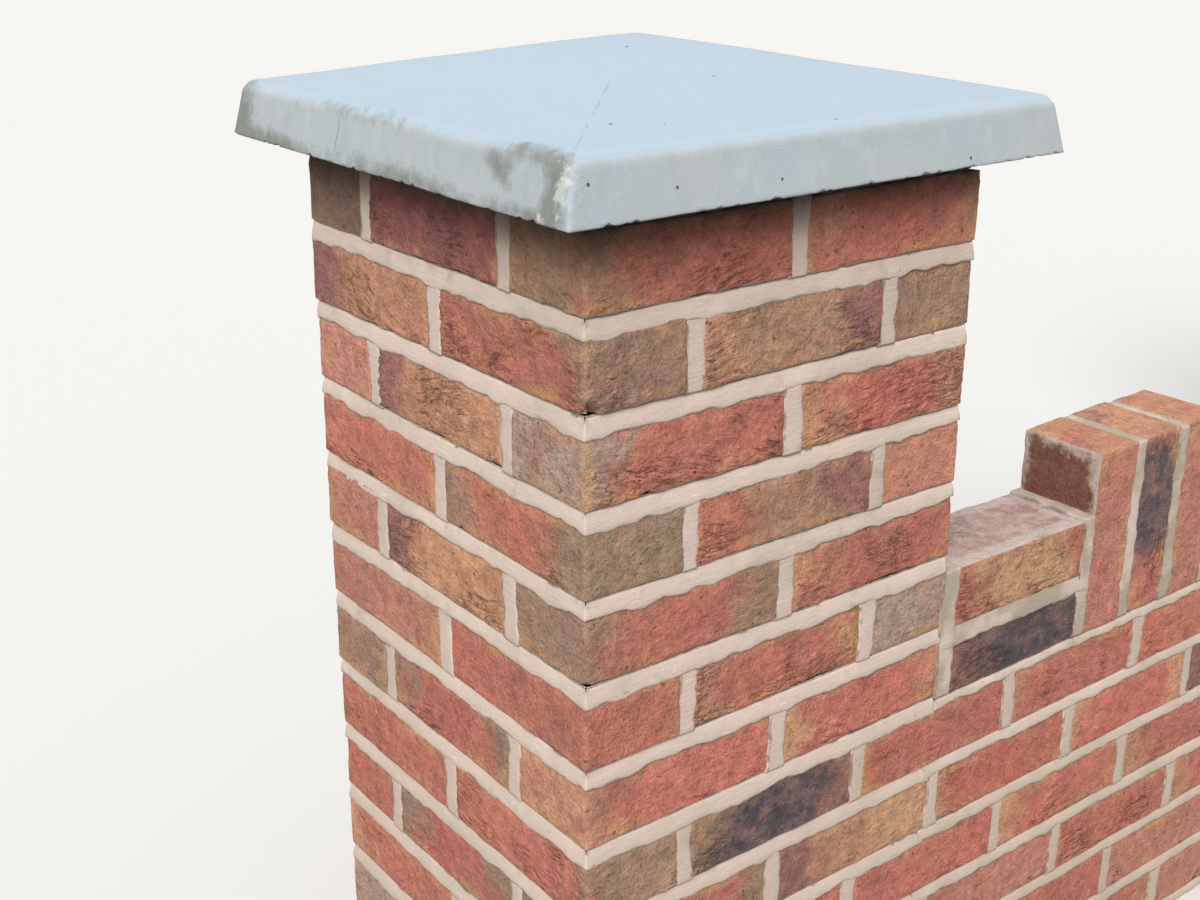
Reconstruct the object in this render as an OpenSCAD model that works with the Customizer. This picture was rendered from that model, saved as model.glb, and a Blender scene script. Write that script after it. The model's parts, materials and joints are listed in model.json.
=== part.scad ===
// A bay of low brick garden wall between two square piers.
// The panel is half a brick thick, runs flush with the front of the piers and is
// toothed into them in every other course. Its coping is castellated: groups of
// soldier bricks stand between low lengths of two bricks laid flat. Each pier
// carries a cast concrete cap with four weathered slopes and a throated underside.
// Courses count from the ground up. X runs along the wall and the front faces -Y.

/* [Bricks and joints] */
// Length of a brick
brick_l = 215; // [205:1:225]
// Width of a brick, which is the thickness of the panel
brick_w = 102.5; // [98:0.5:107]
// Height of a brick laid flat
brick_h = 65; // [60:1:73]
// Thickness of the mortar bed under a course
bed_h = 14; // [8:1:16]
// Width of an upright joint between two bricks of a course
perp_w = 14; // [8:1:16]
// How far a joint is struck back under the brick above it
strike = 3; // [1:0.5:5]

/* [Piers and panel] */
// Courses in each pier
pier_courses = 13; // [11:1:16]
// Courses in the panel below its coping
panel_courses = 6; // [4:2:8]
// Bricks along the panel between the piers
panel_bricks = 7; // [5:1:9]

/* [Coping] */
// Soldiers standing side by side in a group
soldiers = 3; // [2:1:4]
// Groups of soldiers along the panel
groups = 3; // [2:1:4]
// Thickness of the bed under the coping
coping_bed_h = 10; // [6:1:14]
// Width of the upright joint between a pier and the low coping next to it
end_joint_w = 18; // [10:1:22]
// Height of the bricks in the low coping
low_brick_h = 57; // [50:1:62]
// Thickness of the bed between the two bricks of the low coping
low_bed_h = 28; // [14:1:32]

/* [Pier caps] */
// How far a cap reaches past the face of its pier
cap_overhang = 50; // [40:1:60]
// Height of a cap's upright edge
cap_edge_h = 49; // [42:1:60]
// How far the upright edge leans in from its foot to its arris
cap_draft = 8; // [2:1:12]
// Rise of the slopes from the arris to the peak
cap_rise = 51; // [35:1:70]
// Radius of the rounded arris
cap_arris_r = 9; // [4:1:12]
// Radius of the blunted peak
cap_peak_r = 36; // [10:1:38]
// Thickness of the mortar bed under a cap
cap_bed_h = 15; // [10:1:20]
// How far the bed under a cap is raked back from the face of the pier
cap_bed_rake = 6; // [3:1:12]
// Radius of the drip groove under a cap
drip_r = 5; // [3:0.5:6]
// Distance from a cap's edge to the middle of the drip groove
drip_inset = 20; // [16:1:24]

/* [Hidden] */
$fn = 32;
brick_colour = "#A9614E";
burnt_brick_colour = "#8E5A4C";
mortar_colour = "#CDBDAE";
concrete_colour = "#C3CCD2";
// A cut reaches this far past a face that it opens
past = 1;
course_h = brick_h + bed_h;
pier_w = 2*brick_l + perp_w;
pier_h = pier_courses*course_h;
panel_l = panel_bricks*(brick_l + perp_w) + perp_w;
panel_h = panel_courses*course_h;
pier_x = (panel_l + pier_w)/2;
front_y = -pier_w/2;
// A toothed course of the panel replaces one header and its joint in each pier
tooth_l = (pier_w - brick_l)/2;
// Coping
group_l = soldiers*brick_h + (soldiers - 1)*perp_w;
lows = groups + 1;
low_joints_w = 2*end_joint_w + 2*groups*perp_w;
low_brick_l = (panel_l - low_joints_w - groups*group_l)/lows;
coping_pitch = low_brick_l + group_l + 2*perp_w;
low_h = coping_bed_h + 2*low_brick_h + low_bed_h;
soldier_h = coping_bed_h + brick_l;
// Cap
cap_w = pier_w + 2*cap_overhang;
cap_z = pier_h + cap_bed_h;

COURSES = [for (side = ["left", "right"], k = [1 : pier_courses]) str(side, "_pier_course_", k)];
PANEL = [for (k = [1 : panel_courses]) str("panel_course_", k)];
GROUPS = [for (k = [1 : groups]) str("soldier_group_", k)];

// True where the panel's course k runs into the piers; the top course always does
function toothed(k) = k <= panel_courses && (panel_courses - k) % 2 == 0;

// Left end of low coping k and of soldier group k, counted from 1 at the left pier
function low_x(k) = -panel_l/2 + end_joint_w + (k - 1)*coping_pitch;
function group_x(k) = low_x(k) + low_brick_l + perp_w;

// Wedge cut away along a struck joint, running along X on a face that looks towards -Y
module struck_cut(l, h) {
    rotate([90, 0, 90])
        linear_extrude(l)
            polygon([[-past, 0], [0, 0], [strike, h], [-past, h]]);
}

// Layer of mortar with its corner at the origin, struck on its front and back
module struck_layer(l, d, h) {
    difference() {
        cube([l, d, h]);
        translate([-past, 0, 0]) struck_cut(l + 2*past, h);
        translate([l + past, d, 0]) rotate([0, 0, 180]) struck_cut(l + 2*past, h);
    }
}

// One bed joint of the left pier, struck on all four faces. Where it is walled, the panel
// or its coping meets the inner face, and the strike there starts behind the panel.
module pier_bed(h, walled) {
    covered = walled ? brick_w : -past;
    difference() {
        translate([-pier_w/2, -pier_w/2, 0]) struck_layer(pier_w, pier_w, h);
        translate([-pier_w/2, pier_w/2 + past, 0])
            rotate([0, 0, -90]) struck_cut(pier_w + 2*past, h);
        translate([pier_w/2, -pier_w/2 + covered, 0])
            rotate([0, 0, 90]) struck_cut(pier_w - covered + past, h);
    }
}

// All the bed joints of a pier, with the bed under its cap
module pier_beds() {
    for (k = [1 : pier_courses])
        translate([0, 0, (k - 1)*course_h])
            pier_bed(bed_h, (k - 1)*course_h < panel_h + low_h);
    translate([0, 0, pier_h])
        linear_extrude(cap_bed_h)
            square(pier_w - 2*cap_bed_rake, center = true);
}

// Course k of the left pier: the brick layer, notched at the front where the panel is toothed in
module pier_course(k) {
    translate([0, 0, (k - 1)*course_h + bed_h])
        difference() {
            translate([-pier_w/2, -pier_w/2, 0]) cube([pier_w, pier_w, brick_h]);
            if (toothed(k))
                translate([pier_w/2 - tooth_l, -pier_w/2 - past, -past])
                    cube([tooth_l + past, brick_w + past, brick_h + 2*past]);
        }
}

module left_pier_course(k) {
    color(brick_colour) translate([-pier_x, 0, 0]) pier_course(k);
}

module right_pier_course(k) {
    color(brick_colour) mirror([1, 0, 0]) translate([-pier_x, 0, 0]) pier_course(k);
}

module left_pier_beds() {
    color(mortar_colour) translate([-pier_x, 0, 0]) pier_beds();
}

module right_pier_beds() {
    color(mortar_colour) mirror([1, 0, 0]) translate([-pier_x, 0, 0]) pier_beds();
}

// Course k of the panel, which reaches into both piers where it is toothed
module panel_course(k) {
    reach = toothed(k) ? tooth_l : 0;
    color(brick_colour)
        translate([-panel_l/2 - reach, front_y, (k - 1)*course_h + bed_h])
            cube([panel_l + 2*reach, brick_w, brick_h]);
}

module panel_beds() {
    color(mortar_colour)
        for (k = [1 : panel_courses])
            translate([-panel_l/2, front_y, (k - 1)*course_h])
                struck_layer(panel_l, brick_w, bed_h);
}

// Group k of soldiers: bricks standing on end, side by side
module soldier_group(k) {
    color(burnt_brick_colour)
        for (i = [0 : soldiers - 1])
            translate([group_x(k) + i*(brick_h + perp_w), front_y, panel_h + coping_bed_h])
                cube([brick_h, brick_w, brick_l]);
}

// Bed under each group of soldiers, with the upright joints between them
module soldier_mortar() {
    color(mortar_colour)
        for (k = [1 : groups])
            translate([group_x(k), front_y, panel_h]) {
                struck_layer(group_l, brick_w, coping_bed_h);
                for (i = [1 : soldiers - 1])
                    translate([i*brick_h + (i - 1)*perp_w, strike, 0])
                        cube([perp_w, brick_w - 2*strike, soldier_h - strike]);
            }
}

// One layer of low coping bricks whose underside is z above the top of the panel
module low_coping_layer(z) {
    for (k = [1 : lows])
        translate([low_x(k), front_y, panel_h + z])
            cube([low_brick_l, brick_w, low_brick_h]);
}

module low_coping_lower() {
    color(burnt_brick_colour) low_coping_layer(coping_bed_h);
}

module low_coping_upper() {
    color(brick_colour) low_coping_layer(coping_bed_h + low_brick_h + low_bed_h);
}

// Mortar round low coping k: its two beds and the upright joints at both ends
module low_mortar(k) {
    left_w = k == 1 ? end_joint_w : perp_w;
    right_w = k == lows ? end_joint_w : perp_w;
    l = left_w + low_brick_l + right_w;
    translate([low_x(k) - left_w, front_y, panel_h]) {
        struck_layer(l, brick_w, coping_bed_h);
        translate([0, 0, coping_bed_h + low_brick_h]) struck_layer(l, brick_w, low_bed_h);
        for (end = [[0, left_w], [left_w + low_brick_l, right_w]])
            translate([end[0], strike, 0])
                cube([end[1], brick_w - 2*strike, low_h - strike]);
    }
}

module low_coping_mortar() {
    color(mortar_colour)
        for (k = [1 : lows]) low_mortar(k);
}

// Upper body of a cap: a drafted edge, a rounded arris and four slopes up to a blunt peak
module cap_body() {
    foot = cap_w/2 - cap_arris_r;
    arris = cap_w/2 - cap_draft - cap_arris_r;
    hull() {
        for (x = [-1, 1], y = [-1, 1]) {
            translate([x*foot, y*foot, 0]) cylinder(r = cap_arris_r, h = past);
            translate([x*arris, y*arris, cap_edge_h - cap_arris_r]) sphere(r = cap_arris_r);
        }
        translate([0, 0, cap_edge_h + cap_rise - cap_peak_r]) sphere(r = cap_peak_r);
    }
}

// Half-round groove along one edge of the underside, which throws rainwater off
module drip_groove() {
    reach = cap_w/2 - drip_inset;
    translate([-reach, -reach, 0])
        rotate([0, 90, 0]) cylinder(r = drip_r, h = 2*reach);
}

module cap() {
    difference() {
        cap_body();
        for (turn = [0, 90, 180, 270]) rotate([0, 0, turn]) drip_groove();
    }
}

module left_cap() {
    color(concrete_colour) translate([-pier_x, 0, cap_z]) cap();
}

module right_cap() {
    color(concrete_colour) translate([pier_x, 0, cap_z]) cap();
}

for (k = [1 : pier_courses]) {
    left_pier_course(k);
    right_pier_course(k);
}
for (k = [1 : panel_courses])
    panel_course(k);
for (k = [1 : groups])
    soldier_group(k);
left_pier_beds();
right_pier_beds();
panel_beds();
low_coping_lower();
low_coping_upper();
low_coping_mortar();
soldier_mortar();
left_cap();
right_cap();
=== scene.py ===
import json
import math
import random
from functools import partial
from typing import NamedTuple

import bpy
import numpy as np
from bpy.props import FloatProperty, FloatVectorProperty, IntProperty
from bpy.types import Operator, Panel, PropertyGroup
from mathutils import Euler, Matrix, Vector, noise

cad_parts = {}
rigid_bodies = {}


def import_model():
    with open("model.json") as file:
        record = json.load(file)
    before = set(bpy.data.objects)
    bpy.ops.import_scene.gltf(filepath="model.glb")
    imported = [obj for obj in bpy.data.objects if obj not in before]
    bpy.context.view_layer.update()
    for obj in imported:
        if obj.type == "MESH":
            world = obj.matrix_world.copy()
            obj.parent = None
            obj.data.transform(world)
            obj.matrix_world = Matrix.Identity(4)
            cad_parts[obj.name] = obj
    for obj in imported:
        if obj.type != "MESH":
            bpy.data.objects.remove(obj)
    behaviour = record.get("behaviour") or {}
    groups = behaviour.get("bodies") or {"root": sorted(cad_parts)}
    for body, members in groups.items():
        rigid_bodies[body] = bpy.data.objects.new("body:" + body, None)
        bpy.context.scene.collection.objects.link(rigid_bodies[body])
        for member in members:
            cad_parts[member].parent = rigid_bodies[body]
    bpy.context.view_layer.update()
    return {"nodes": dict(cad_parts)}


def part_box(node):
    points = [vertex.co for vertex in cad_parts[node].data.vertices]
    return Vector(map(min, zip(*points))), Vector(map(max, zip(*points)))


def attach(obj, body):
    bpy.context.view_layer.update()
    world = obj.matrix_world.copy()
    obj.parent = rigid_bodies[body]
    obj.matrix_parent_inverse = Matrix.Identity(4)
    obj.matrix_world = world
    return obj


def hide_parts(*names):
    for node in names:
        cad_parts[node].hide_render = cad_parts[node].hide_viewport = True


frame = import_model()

bl_info = {
    "name": "Brick Garden Wall",
    "version": (1, 0, 0),
    "blender": (4, 5, 0),
    "location": "View3D > Sidebar > Garden Wall",
    "description": "Dresses a bay of brick garden wall: bricks, struck mortar, coping and pier caps",
    "category": "Add Mesh",
}

BODY = "root"
MM = 0.001


def span(node, axis):
    """Lowest and highest place of a node along an axis."""
    low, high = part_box(node)
    return low[axis], high[axis]


def extent(node, axis):
    low, high = span(node, axis)
    return high - low


# Sizes that the frame gives
PIER_W = extent("left_pier_course_1", 0)
PIER_X = sum(span("left_pier_course_1", 0)) / 2
BRICK_H = extent("left_pier_course_1", 2)
BRICK_W = extent("panel_course_1", 1)
BRICK_L = extent("soldier_group_1", 2)
BED_H = span("left_pier_course_1", 2)[0]
COURSE_H = BRICK_H + BED_H
PIER_COURSES = round(span("left_pier_course_13", 2)[1] / COURSE_H)
PIER_TOP = PIER_COURSES * COURSE_H
CAP_Z = span("left_cap", 2)[0]
PANEL_END = extent("panel_course_1", 0) / 2
PANEL_COURSES = round(span("panel_course_6", 2)[1] / COURSE_H)
PANEL_TOP = PANEL_COURSES * COURSE_H
FRONT = -PIER_W / 2
BACK = FRONT + BRICK_W
PANEL_Y = (FRONT + BACK) / 2
TOOTH = (PIER_W - BRICK_L) / 2
COPING_Z = span("soldier_group_1", 2)[0]
LOW_H = extent("low_coping_lower", 2)
LOW_BED = span("low_coping_upper", 2)[0] - span("low_coping_lower", 2)[1]
LOW_TOP = span("low_coping_upper", 2)[1]
END_JOINT = span("low_coping_lower", 0)[0] + PANEL_END
GROUPS = 3
SOLDIERS = 3
LOWS = GROUPS + 1
GROUP_L = extent("soldier_group_1", 0)
PERP = (GROUP_L - SOLDIERS * BRICK_H) / (SOLDIERS - 1)
COPING_PITCH = span("soldier_group_2", 0)[0] - span("soldier_group_1", 0)[0]
LOW_L = COPING_PITCH - GROUP_L - 2 * PERP


def linear(code):
    """Linear colour of an sRGB hex code."""
    parts = [int(code[i : i + 2], 16) / 255 for i in (1, 3, 5)]
    return tuple(c / 12.92 if c <= 0.04045 else ((c + 0.055) / 1.055) ** 2.4 for c in parts)


def rgba(code):
    return (*linear(code), 1.0)


def per(size):
    """Texture scale at which one feature is size millimetres across."""
    return 1 / (size * MM)


# Fired colours of the clay
FIRED = {
    "red": linear("#B06B5B"),
    "salmon": linear("#B37868"),
    "wine": linear("#975C57"),
    "orange": linear("#B58367"),
    "straw": linear("#BD9471"),
    "buff": linear("#9F7C64"),
    "umber": linear("#947964"),
    "ash": linear("#9C8878"),
    "plum": linear("#8A615A"),
    "ink": linear("#4F494B"),
    "peat": linear("#74604F"),
}


class Sort(NamedTuple):
    """A sort of brick: its colours at the left end, in the middle and at the right end as one looks
    at the stretcher face, how creased it is, and where along its length the middle begins and ends."""

    start: str
    middle: str
    end: str
    creased: float
    begins: float = 0.25
    ends: float = 0.78


SORTS = {
    "r": Sort("red", "red", "red", 0.5),
    "R": Sort("red", "red", "red", 0.85),
    "s": Sort("salmon", "salmon", "salmon", 0.45),
    "w": Sort("wine", "wine", "wine", 0.8),
    "o": Sort("orange", "red", "red", 0.6, 0.14),
    "O": Sort("orange", "red", "orange", 0.6, 0.14, 0.88),
    "C": Sort("orange", "red", "orange", 0.9, 0.14, 0.88),
    "e": Sort("salmon", "salmon", "orange", 0.45, 0.1, 0.96),
    "b": Sort("buff", "red", "red", 0.8),
    "B": Sort("red", "red", "umber", 0.9, 0.25, 0.83),
    "U": Sort("umber", "red", "umber", 0.5, 0.2, 0.82),
    "g": Sort("ash", "red", "red", 0.75, 0.12),
    "p": Sort("plum", "orange", "orange", 0.85),
    "q": Sort("orange", "buff", "plum", 0.75, 0.2),
    "m": Sort("red", "buff", "plum", 0.75),
    "y": Sort("plum", "orange", "straw", 0.6),
    "u": Sort("umber", "umber", "umber", 0.3),
    "a": Sort("ash", "ash", "ash", 0.25),
    "k": Sort("umber", "ink", "plum", 0.7, 0.2, 0.85),
    "K": Sort("red", "ink", "orange", 0.7, 0.34, 0.86),
    "h": Sort("red", "straw", "red", 1.05, 0.22, 0.86),
    "i": Sort("plum", "ink", "ink", 0.85, 0.3),
    "c": Sort("buff", "red", "red", 0.8, 0.15),
    "d": Sort("peat", "peat", "peat", 0.4),
}

# The rest of the load, in the share in which each sort turns up
LOAD = "rrrrRRssoooOOCCebbBUgpqmyuak"

# Sorts laid in the near pier from the ground up: the four bricks of a course that show from the
# front left, in the order in which the eye meets them
PIER_WORDS = (
    "rRoO", "oroU", "aroy", "orru", "rUUy", "rBkr", "uUoO",
    "erCa", "spUo", "rUms", "spgC", "pBqu", "dwcO",
)

# Sorts laid in the panel from the ground up, beginning at the near pier
PANEL_WORDS = ("rOs", "orep", "sROr", "rOor", "oOpr", "rorC")

# Sorts in the coping, from the near pier on
SOLDIER_WORDS = ("eKe", "rso", "eKs")
LOW_UPPER_WORD = "hsro"
LOW_LOWER_WORD = "iakr"


def length_setting(name, description, size):
    """A setting that is a length, with its usual size in millimetres."""
    return FloatProperty(name=name, description=description, default=size * MM, unit="LENGTH")


class BrickSettings(PropertyGroup):
    """How the bricks are made and laid."""

    top_arris: length_setting("Upper Arris", "Rounding of a brick's upper edges", 3.2)
    low_arris: length_setting("Lower Arris", "Rounding of a brick's lower edges", 1.5)
    arris_wander: length_setting("Arris Wander", "How far the rounding varies", 3.6)
    edge_wander: length_setting("Edge Wander", "How far an edge strays from straight", 1.8)
    fold_depth: length_setting("Fold Depth", "Depth of the folds in the thrown clay", 1.3)
    fold_height: length_setting("Fold Height", "Usual distance between folds", 11)
    swell: length_setting("Swell", "How far the faces bulge and dip", 0.7)
    stray: length_setting("Stray", "How far a brick is laid off its line", 0.7)
    seed: IntProperty(name="Seed", description="Picks another load of bricks", default=11)


class JointSettings(PropertyGroup):
    """How the mortar is struck."""

    flush: length_setting("Flush", "Depth of a joint at its lower edge", -0.7)
    strike: length_setting("Strike", "Depth of a joint under the brick above", 3.6)
    smear: length_setting("Smear", "How far mortar reaches over the brick below", 2.0)
    wander: length_setting("Wander", "How far the edge of a joint strays", 3.0)
    rough: length_setting("Roughness", "How uneven the mortar's surface is", 0.4)


class CapSettings(PropertyGroup):
    """How the caps are cast."""

    edge_h: length_setting("Edge Height", "Height of the upright edge", 49)
    draft: length_setting("Draft", "How far the edge leans in", 8)
    arris: length_setting("Arris", "Rounding between edge and slope", 9)
    foot_arris: length_setting("Foot Arris", "Rounding of the lower edge", 1.6)
    drip_inset: length_setting("Drip Inset", "Distance from the edge to the drip groove", 20)
    drip_r: length_setting("Drip Radius", "Radius of the drip groove", 5)


class StageSettings(PropertyGroup):
    """Camera, floor and light."""

    camera_place: FloatVectorProperty(
        name="Camera Place",
        description="Where the camera stands",
        default=(-1.9104, -1.1158, 1.2739),
        subtype="TRANSLATION",
    )
    heading: FloatProperty(
        name="Heading",
        description="Degrees that the camera turns from the back to the right",
        default=36.98,
    )
    pitch: FloatProperty(name="Pitch", description="Degrees that the camera looks down", default=20.6)
    lens: FloatProperty(name="Lens", description="Focal length in millimetres", default=45.99)
    floor_colour: FloatVectorProperty(
        name="Floor", description="Colour of the floor", default=linear("#D6D4D0"), subtype="COLOR"
    )


class Graded(NamedTuple):
    """Mesh cells that are fine over the first share of a length and coarse over the rest."""

    fine: float
    coarse: float
    share: float


class Block(NamedTuple):
    """A brick or a length of mortar before its surface is worked.

    Cells holds the sides that show, each with the size of the mesh cells on it. Values holds what
    the surface needs to know.
    """

    centre: tuple
    turn: tuple
    size: tuple
    cells: tuple
    values: dict


class Chip(NamedTuple):
    """A piece broken off a brick: its middle, as shares of the brick's size, and its radius."""

    place: tuple
    radius: float


# Sides of a block: the axis across the side, and which end of the axis it closes
SIDES = {"-x": (0, -1), "+x": (0, 1), "-y": (1, -1), "+y": (1, 1), "-z": (2, -1), "+z": (2, 1)}

# Distances from an edge at which a blank has a line of vertices
BRICK_RIM = (1.4 * MM, 4.0 * MM)
JOINT_RIM = (2.0 * MM,)


def fineness(cell):
    return cell.fine if isinstance(cell, Graded) else cell


def grid_lines(length, cell, rim):
    """Places of the lines across one axis of a blank: the rim at both ends and cells between."""
    rim = [place for place in rim if place < 0.45 * length]
    stretches = [(rim[-1], length - rim[-1], cell)]
    if isinstance(cell, Graded):
        turn = cell.share * length
        stretches = [(rim[-1], turn, cell.fine), (turn, length - rim[-1], cell.coarse)]
    middle = []
    for start, end, step in stretches:
        steps = 1 if step is None else max(1, round((end - start) / step))
        middle += [start + (end - start) * i / steps for i in range(steps)]
    return [0, *rim[:-1], *middle, *(length - place for place in reversed(rim)), length]


def lattice(size, cells, rim):
    """Vertices and faces of a closed box. A side that shows is a grid of cells. A side that doesn't
    is one polygon, with a strip of cells along each edge that it shares with a side that shows."""
    lines = []
    for axis in range(3):
        across = [cell for side, cell in cells.items() if SIDES[side][0] != axis]
        finest = min(across, default=None, key=fineness)
        lines.append(grid_lines(size[axis], finest if axis == 0 else fineness(finest), rim))
    last = [len(line) - 1 for line in lines]
    faces = []
    holes = []

    def key(axis, sign, i, j):
        place = [0, 0, 0]
        place[axis] = last[axis] if sign > 0 else 0
        place[(axis + 1) % 3] = i
        place[(axis + 2) % 3] = j
        return tuple(place)

    for side, (axis, sign) in SIDES.items():
        ends = [last[(axis + 1) % 3], last[(axis + 2) % 3]]
        low = [0, 0]
        high = list(ends)
        if side not in cells:
            for n in range(2):
                letter = "xyz"[(axis + 1 + n) % 3]
                strip = min(len(rim), ends[n] // 2)
                low[n] = strip if "-" + letter in cells else 0
                high[n] = ends[n] - strip if "+" + letter in cells else ends[n]
            holes.append((axis, sign, low, high))
        for i in range(ends[0]):
            for j in range(ends[1]):
                if side not in cells and low[0] <= i < high[0] and low[1] <= j < high[1]:
                    continue
                quad = ((i, j), (i + 1, j), (i + 1, j + 1), (i, j + 1))
                faces.append([key(axis, sign, a, b) for a, b in quad][::sign])
    used = {corner for face in faces for corner in face}
    for axis, sign, low, high in holes:
        used |= {key(axis, sign, i, j) for i in (low[0], high[0]) for j in (low[1], high[1])}
    for axis, sign, low, high in holes:
        if low[0] >= high[0] or low[1] >= high[1]:
            continue
        rim_walk = [key(axis, sign, i, low[1]) for i in range(low[0], high[0])]
        rim_walk += [key(axis, sign, high[0], j) for j in range(low[1], high[1])]
        rim_walk += [key(axis, sign, i, high[1]) for i in range(high[0], low[0], -1)]
        rim_walk += [key(axis, sign, low[0], j) for j in range(high[1], low[1], -1)]
        faces.append([corner for corner in rim_walk if corner in used][::sign])
    corners = sorted(used)
    index = {corner: n for n, corner in enumerate(corners)}
    places = np.array([[lines[a][corner[a]] - size[a] / 2 for a in range(3)] for corner in corners])
    return places, [[index[corner] for corner in face] for face in faces]


def write_attribute(mesh, name, values):
    """Stores one value for each vertex: numbers as floats, and threes as vectors."""
    values = np.asarray(values, dtype=np.float32)
    if values.ndim == 1:
        mesh.attributes.new(name, "FLOAT", "POINT").data.foreach_set("value", values)
    else:
        mesh.attributes.new(name, "FLOAT_VECTOR", "POINT").data.foreach_set("vector", values.ravel())


class Blanks:
    """The different blanks that a set of pieces is made from, in one collection."""

    def __init__(self, rim):
        self.rim = rim
        self.collection = bpy.data.collections.new("blanks")
        self.numbers = {}

    def number(self, block):
        """Number of the blank for a block, which is made if it is new."""
        key = (tuple(round(s, 5) for s in block.size), block.cells)
        if key not in self.numbers:
            self.numbers[key] = len(self.numbers)
            places, faces = lattice(block.size, dict(block.cells), self.rim)
            mesh = bpy.data.meshes.new("blank")
            mesh.from_pydata(places.tolist(), [], faces)
            write_attribute(mesh, "blank_co", places / np.array(block.size))
            name = f"blank_{self.numbers[key]:03d}"
            self.collection.objects.link(bpy.data.objects.new(name, mesh))
        return self.numbers[key]

    def remove(self):
        for blank in list(self.collection.objects):
            bpy.data.meshes.remove(blank.data)
        bpy.data.collections.remove(self.collection)


def lay(name, blocks, blanks, tree, inputs):
    """One piece made of all the blocks: a point for each, worked by the tree into a plain mesh."""
    points = bpy.data.meshes.new(name)
    points.from_pydata([block.centre for block in blocks], [], [])
    write_attribute(points, "blank", [blanks.number(block) for block in blocks])
    write_attribute(points, "turn", [block.turn for block in blocks])
    write_attribute(points, "size", [block.size for block in blocks])
    for key in blocks[0].values:
        write_attribute(points, key, [block.values[key] for block in blocks])
    piece = bpy.data.objects.new(name, points)
    bpy.context.scene.collection.objects.link(piece)
    modifier = piece.modifiers.new(tree.name, "NODES")
    modifier.node_group = tree
    for item in tree.interface.items_tree:
        if item.in_out == "INPUT" and item.name in inputs:
            modifier[item.identifier] = inputs[item.name]
    bpy.context.view_layer.update()
    worked = piece.evaluated_get(bpy.context.evaluated_depsgraph_get())
    mesh = bpy.data.meshes.new_from_object(worked)
    piece.modifiers.clear()
    piece.data = mesh
    bpy.data.meshes.remove(points)
    mesh.name = name
    return piece


def stand_for(piece, slot, *nodes):
    """The piece rides on the wall and shows in place of its nodes. The slot is not used."""
    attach(piece, BODY)
    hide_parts(*nodes)


def add_node(tree, kind, *given, **settings):
    """Adds a node, sets its properties, and sets or links its inputs.

    Inputs are given in their order, and then by name in a dict. A node given as an input stands for
    its first output that is in use. A kind without the word Node is one of the shader nodes, many of
    which work in geometry trees too. Its operation may stand behind it after a dot.
    """
    kind, _, operation = kind.partition(".")
    new = tree.nodes.new(kind if "Node" in kind else "ShaderNode" + kind)
    if operation:
        new.operation = operation
    for name, value in settings.items():
        setattr(new, name, value)
    for number, inputs in enumerate(given):
        for name, value in (inputs if isinstance(inputs, dict) else {number: inputs}).items():
            if isinstance(name, int):
                socket = new.inputs[name]
            else:
                socket = next(s for s in new.inputs if s.name == name and s.enabled)
            if isinstance(value, bpy.types.Node):
                value = next(s for s in value.outputs if s.enabled)
            if isinstance(value, bpy.types.NodeSocket):
                tree.links.new(value, socket)
            else:
                socket.default_value = value
    return new


def patches(add, place, size, low, high, most=1.0, detail=3.0):
    """Soft-edged patches about size millimetres across, where a noise passes from low to high."""
    clouds = add("TexNoise", {"Vector": place, "Scale": per(size), "Detail": detail, "Roughness": 0.6})
    return add(
        "MapRange",
        {"Value": clouds, "From Min": low, "From Max": high, "To Max": most},
        interpolation_type="SMOOTHSTEP",
    )


def swing(add, place, size, reach, detail=2.0):
    """A length that wanders by about reach to either side, over about size millimetres."""
    clouds = add("TexNoise", {"Vector": place, "Scale": per(size), "Detail": detail, "Roughness": 0.6})
    centred = add("Math.SUBTRACT", clouds, 0.5)
    doubled = add("Math.MULTIPLY", centred, 4.0)
    return add("Math.MULTIPLY", doubled, reach)


def clouded(add, body, clouds):
    """Colours the body in soft-edged patches. Each of the clouds holds a place, what patches takes,
    a colour, and at times a share by which the cloud is thinned."""
    for place, size, low, high, most, colour, *shares in clouds:
        cloud = patches(add, place, size, low, high, most)
        for share in shares:
            cloud = add("Math.MULTIPLY", cloud, share)
        body = add("Mix", {"Factor": cloud, "A": body, "B": rgba(colour)}, data_type="RGBA")
    return body


def warped(add, place, size, reach):
    """The place, pushed about by up to reach over about size millimetres."""
    push = add("TexNoise", {"Vector": place, "Scale": per(size), "Detail": 2.0})
    push = add("VectorMath.SUBTRACT", push.outputs["Color"], (0.5, 0.5, 0.5))
    push = add("VectorMath.SCALE", push, {"Scale": 2 * reach})
    return add("VectorMath.ADD", place, push)


def new_tree(name, sockets):
    """Geometry tree with a geometry output and the named inputs, and its group input."""
    tree = bpy.data.node_groups.new(name, "GeometryNodeTree")
    tree.interface.new_socket("Geometry", in_out="OUTPUT", socket_type="NodeSocketGeometry")
    tree.interface.new_socket("Geometry", in_out="INPUT", socket_type="NodeSocketGeometry")
    for label, kind in sockets.items():
        tree.interface.new_socket(label, in_out="INPUT", socket_type="NodeSocket" + kind)
    return tree, tree.nodes.new("NodeGroupInput")


def put_blanks(add, source):
    """Puts a blank on each point and makes it real. Its points keep their own centre, turn and size."""
    held = add(
        "GeometryNodeStoreNamedAttribute",
        {
            "Geometry": source.outputs["Geometry"],
            "Name": "centre",
            "Value": add("GeometryNodeInputPosition"),
        },
        data_type="FLOAT_VECTOR",
        domain="POINT",
    )
    choices = add(
        "GeometryNodeCollectionInfo", {"Collection": source.outputs["Blanks"], "Separate Children": True}
    )
    which = add("GeometryNodeInputNamedAttribute", {"Name": "blank"}, data_type="FLOAT")
    placed = add(
        "GeometryNodeInstanceOnPoints",
        {
            "Points": held,
            "Instance": choices,
            "Pick Instance": True,
            "Instance Index": add("FunctionNodeFloatToInt", which),
        },
    )
    return add("GeometryNodeRealizeInstances", {"Geometry": placed})


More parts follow.
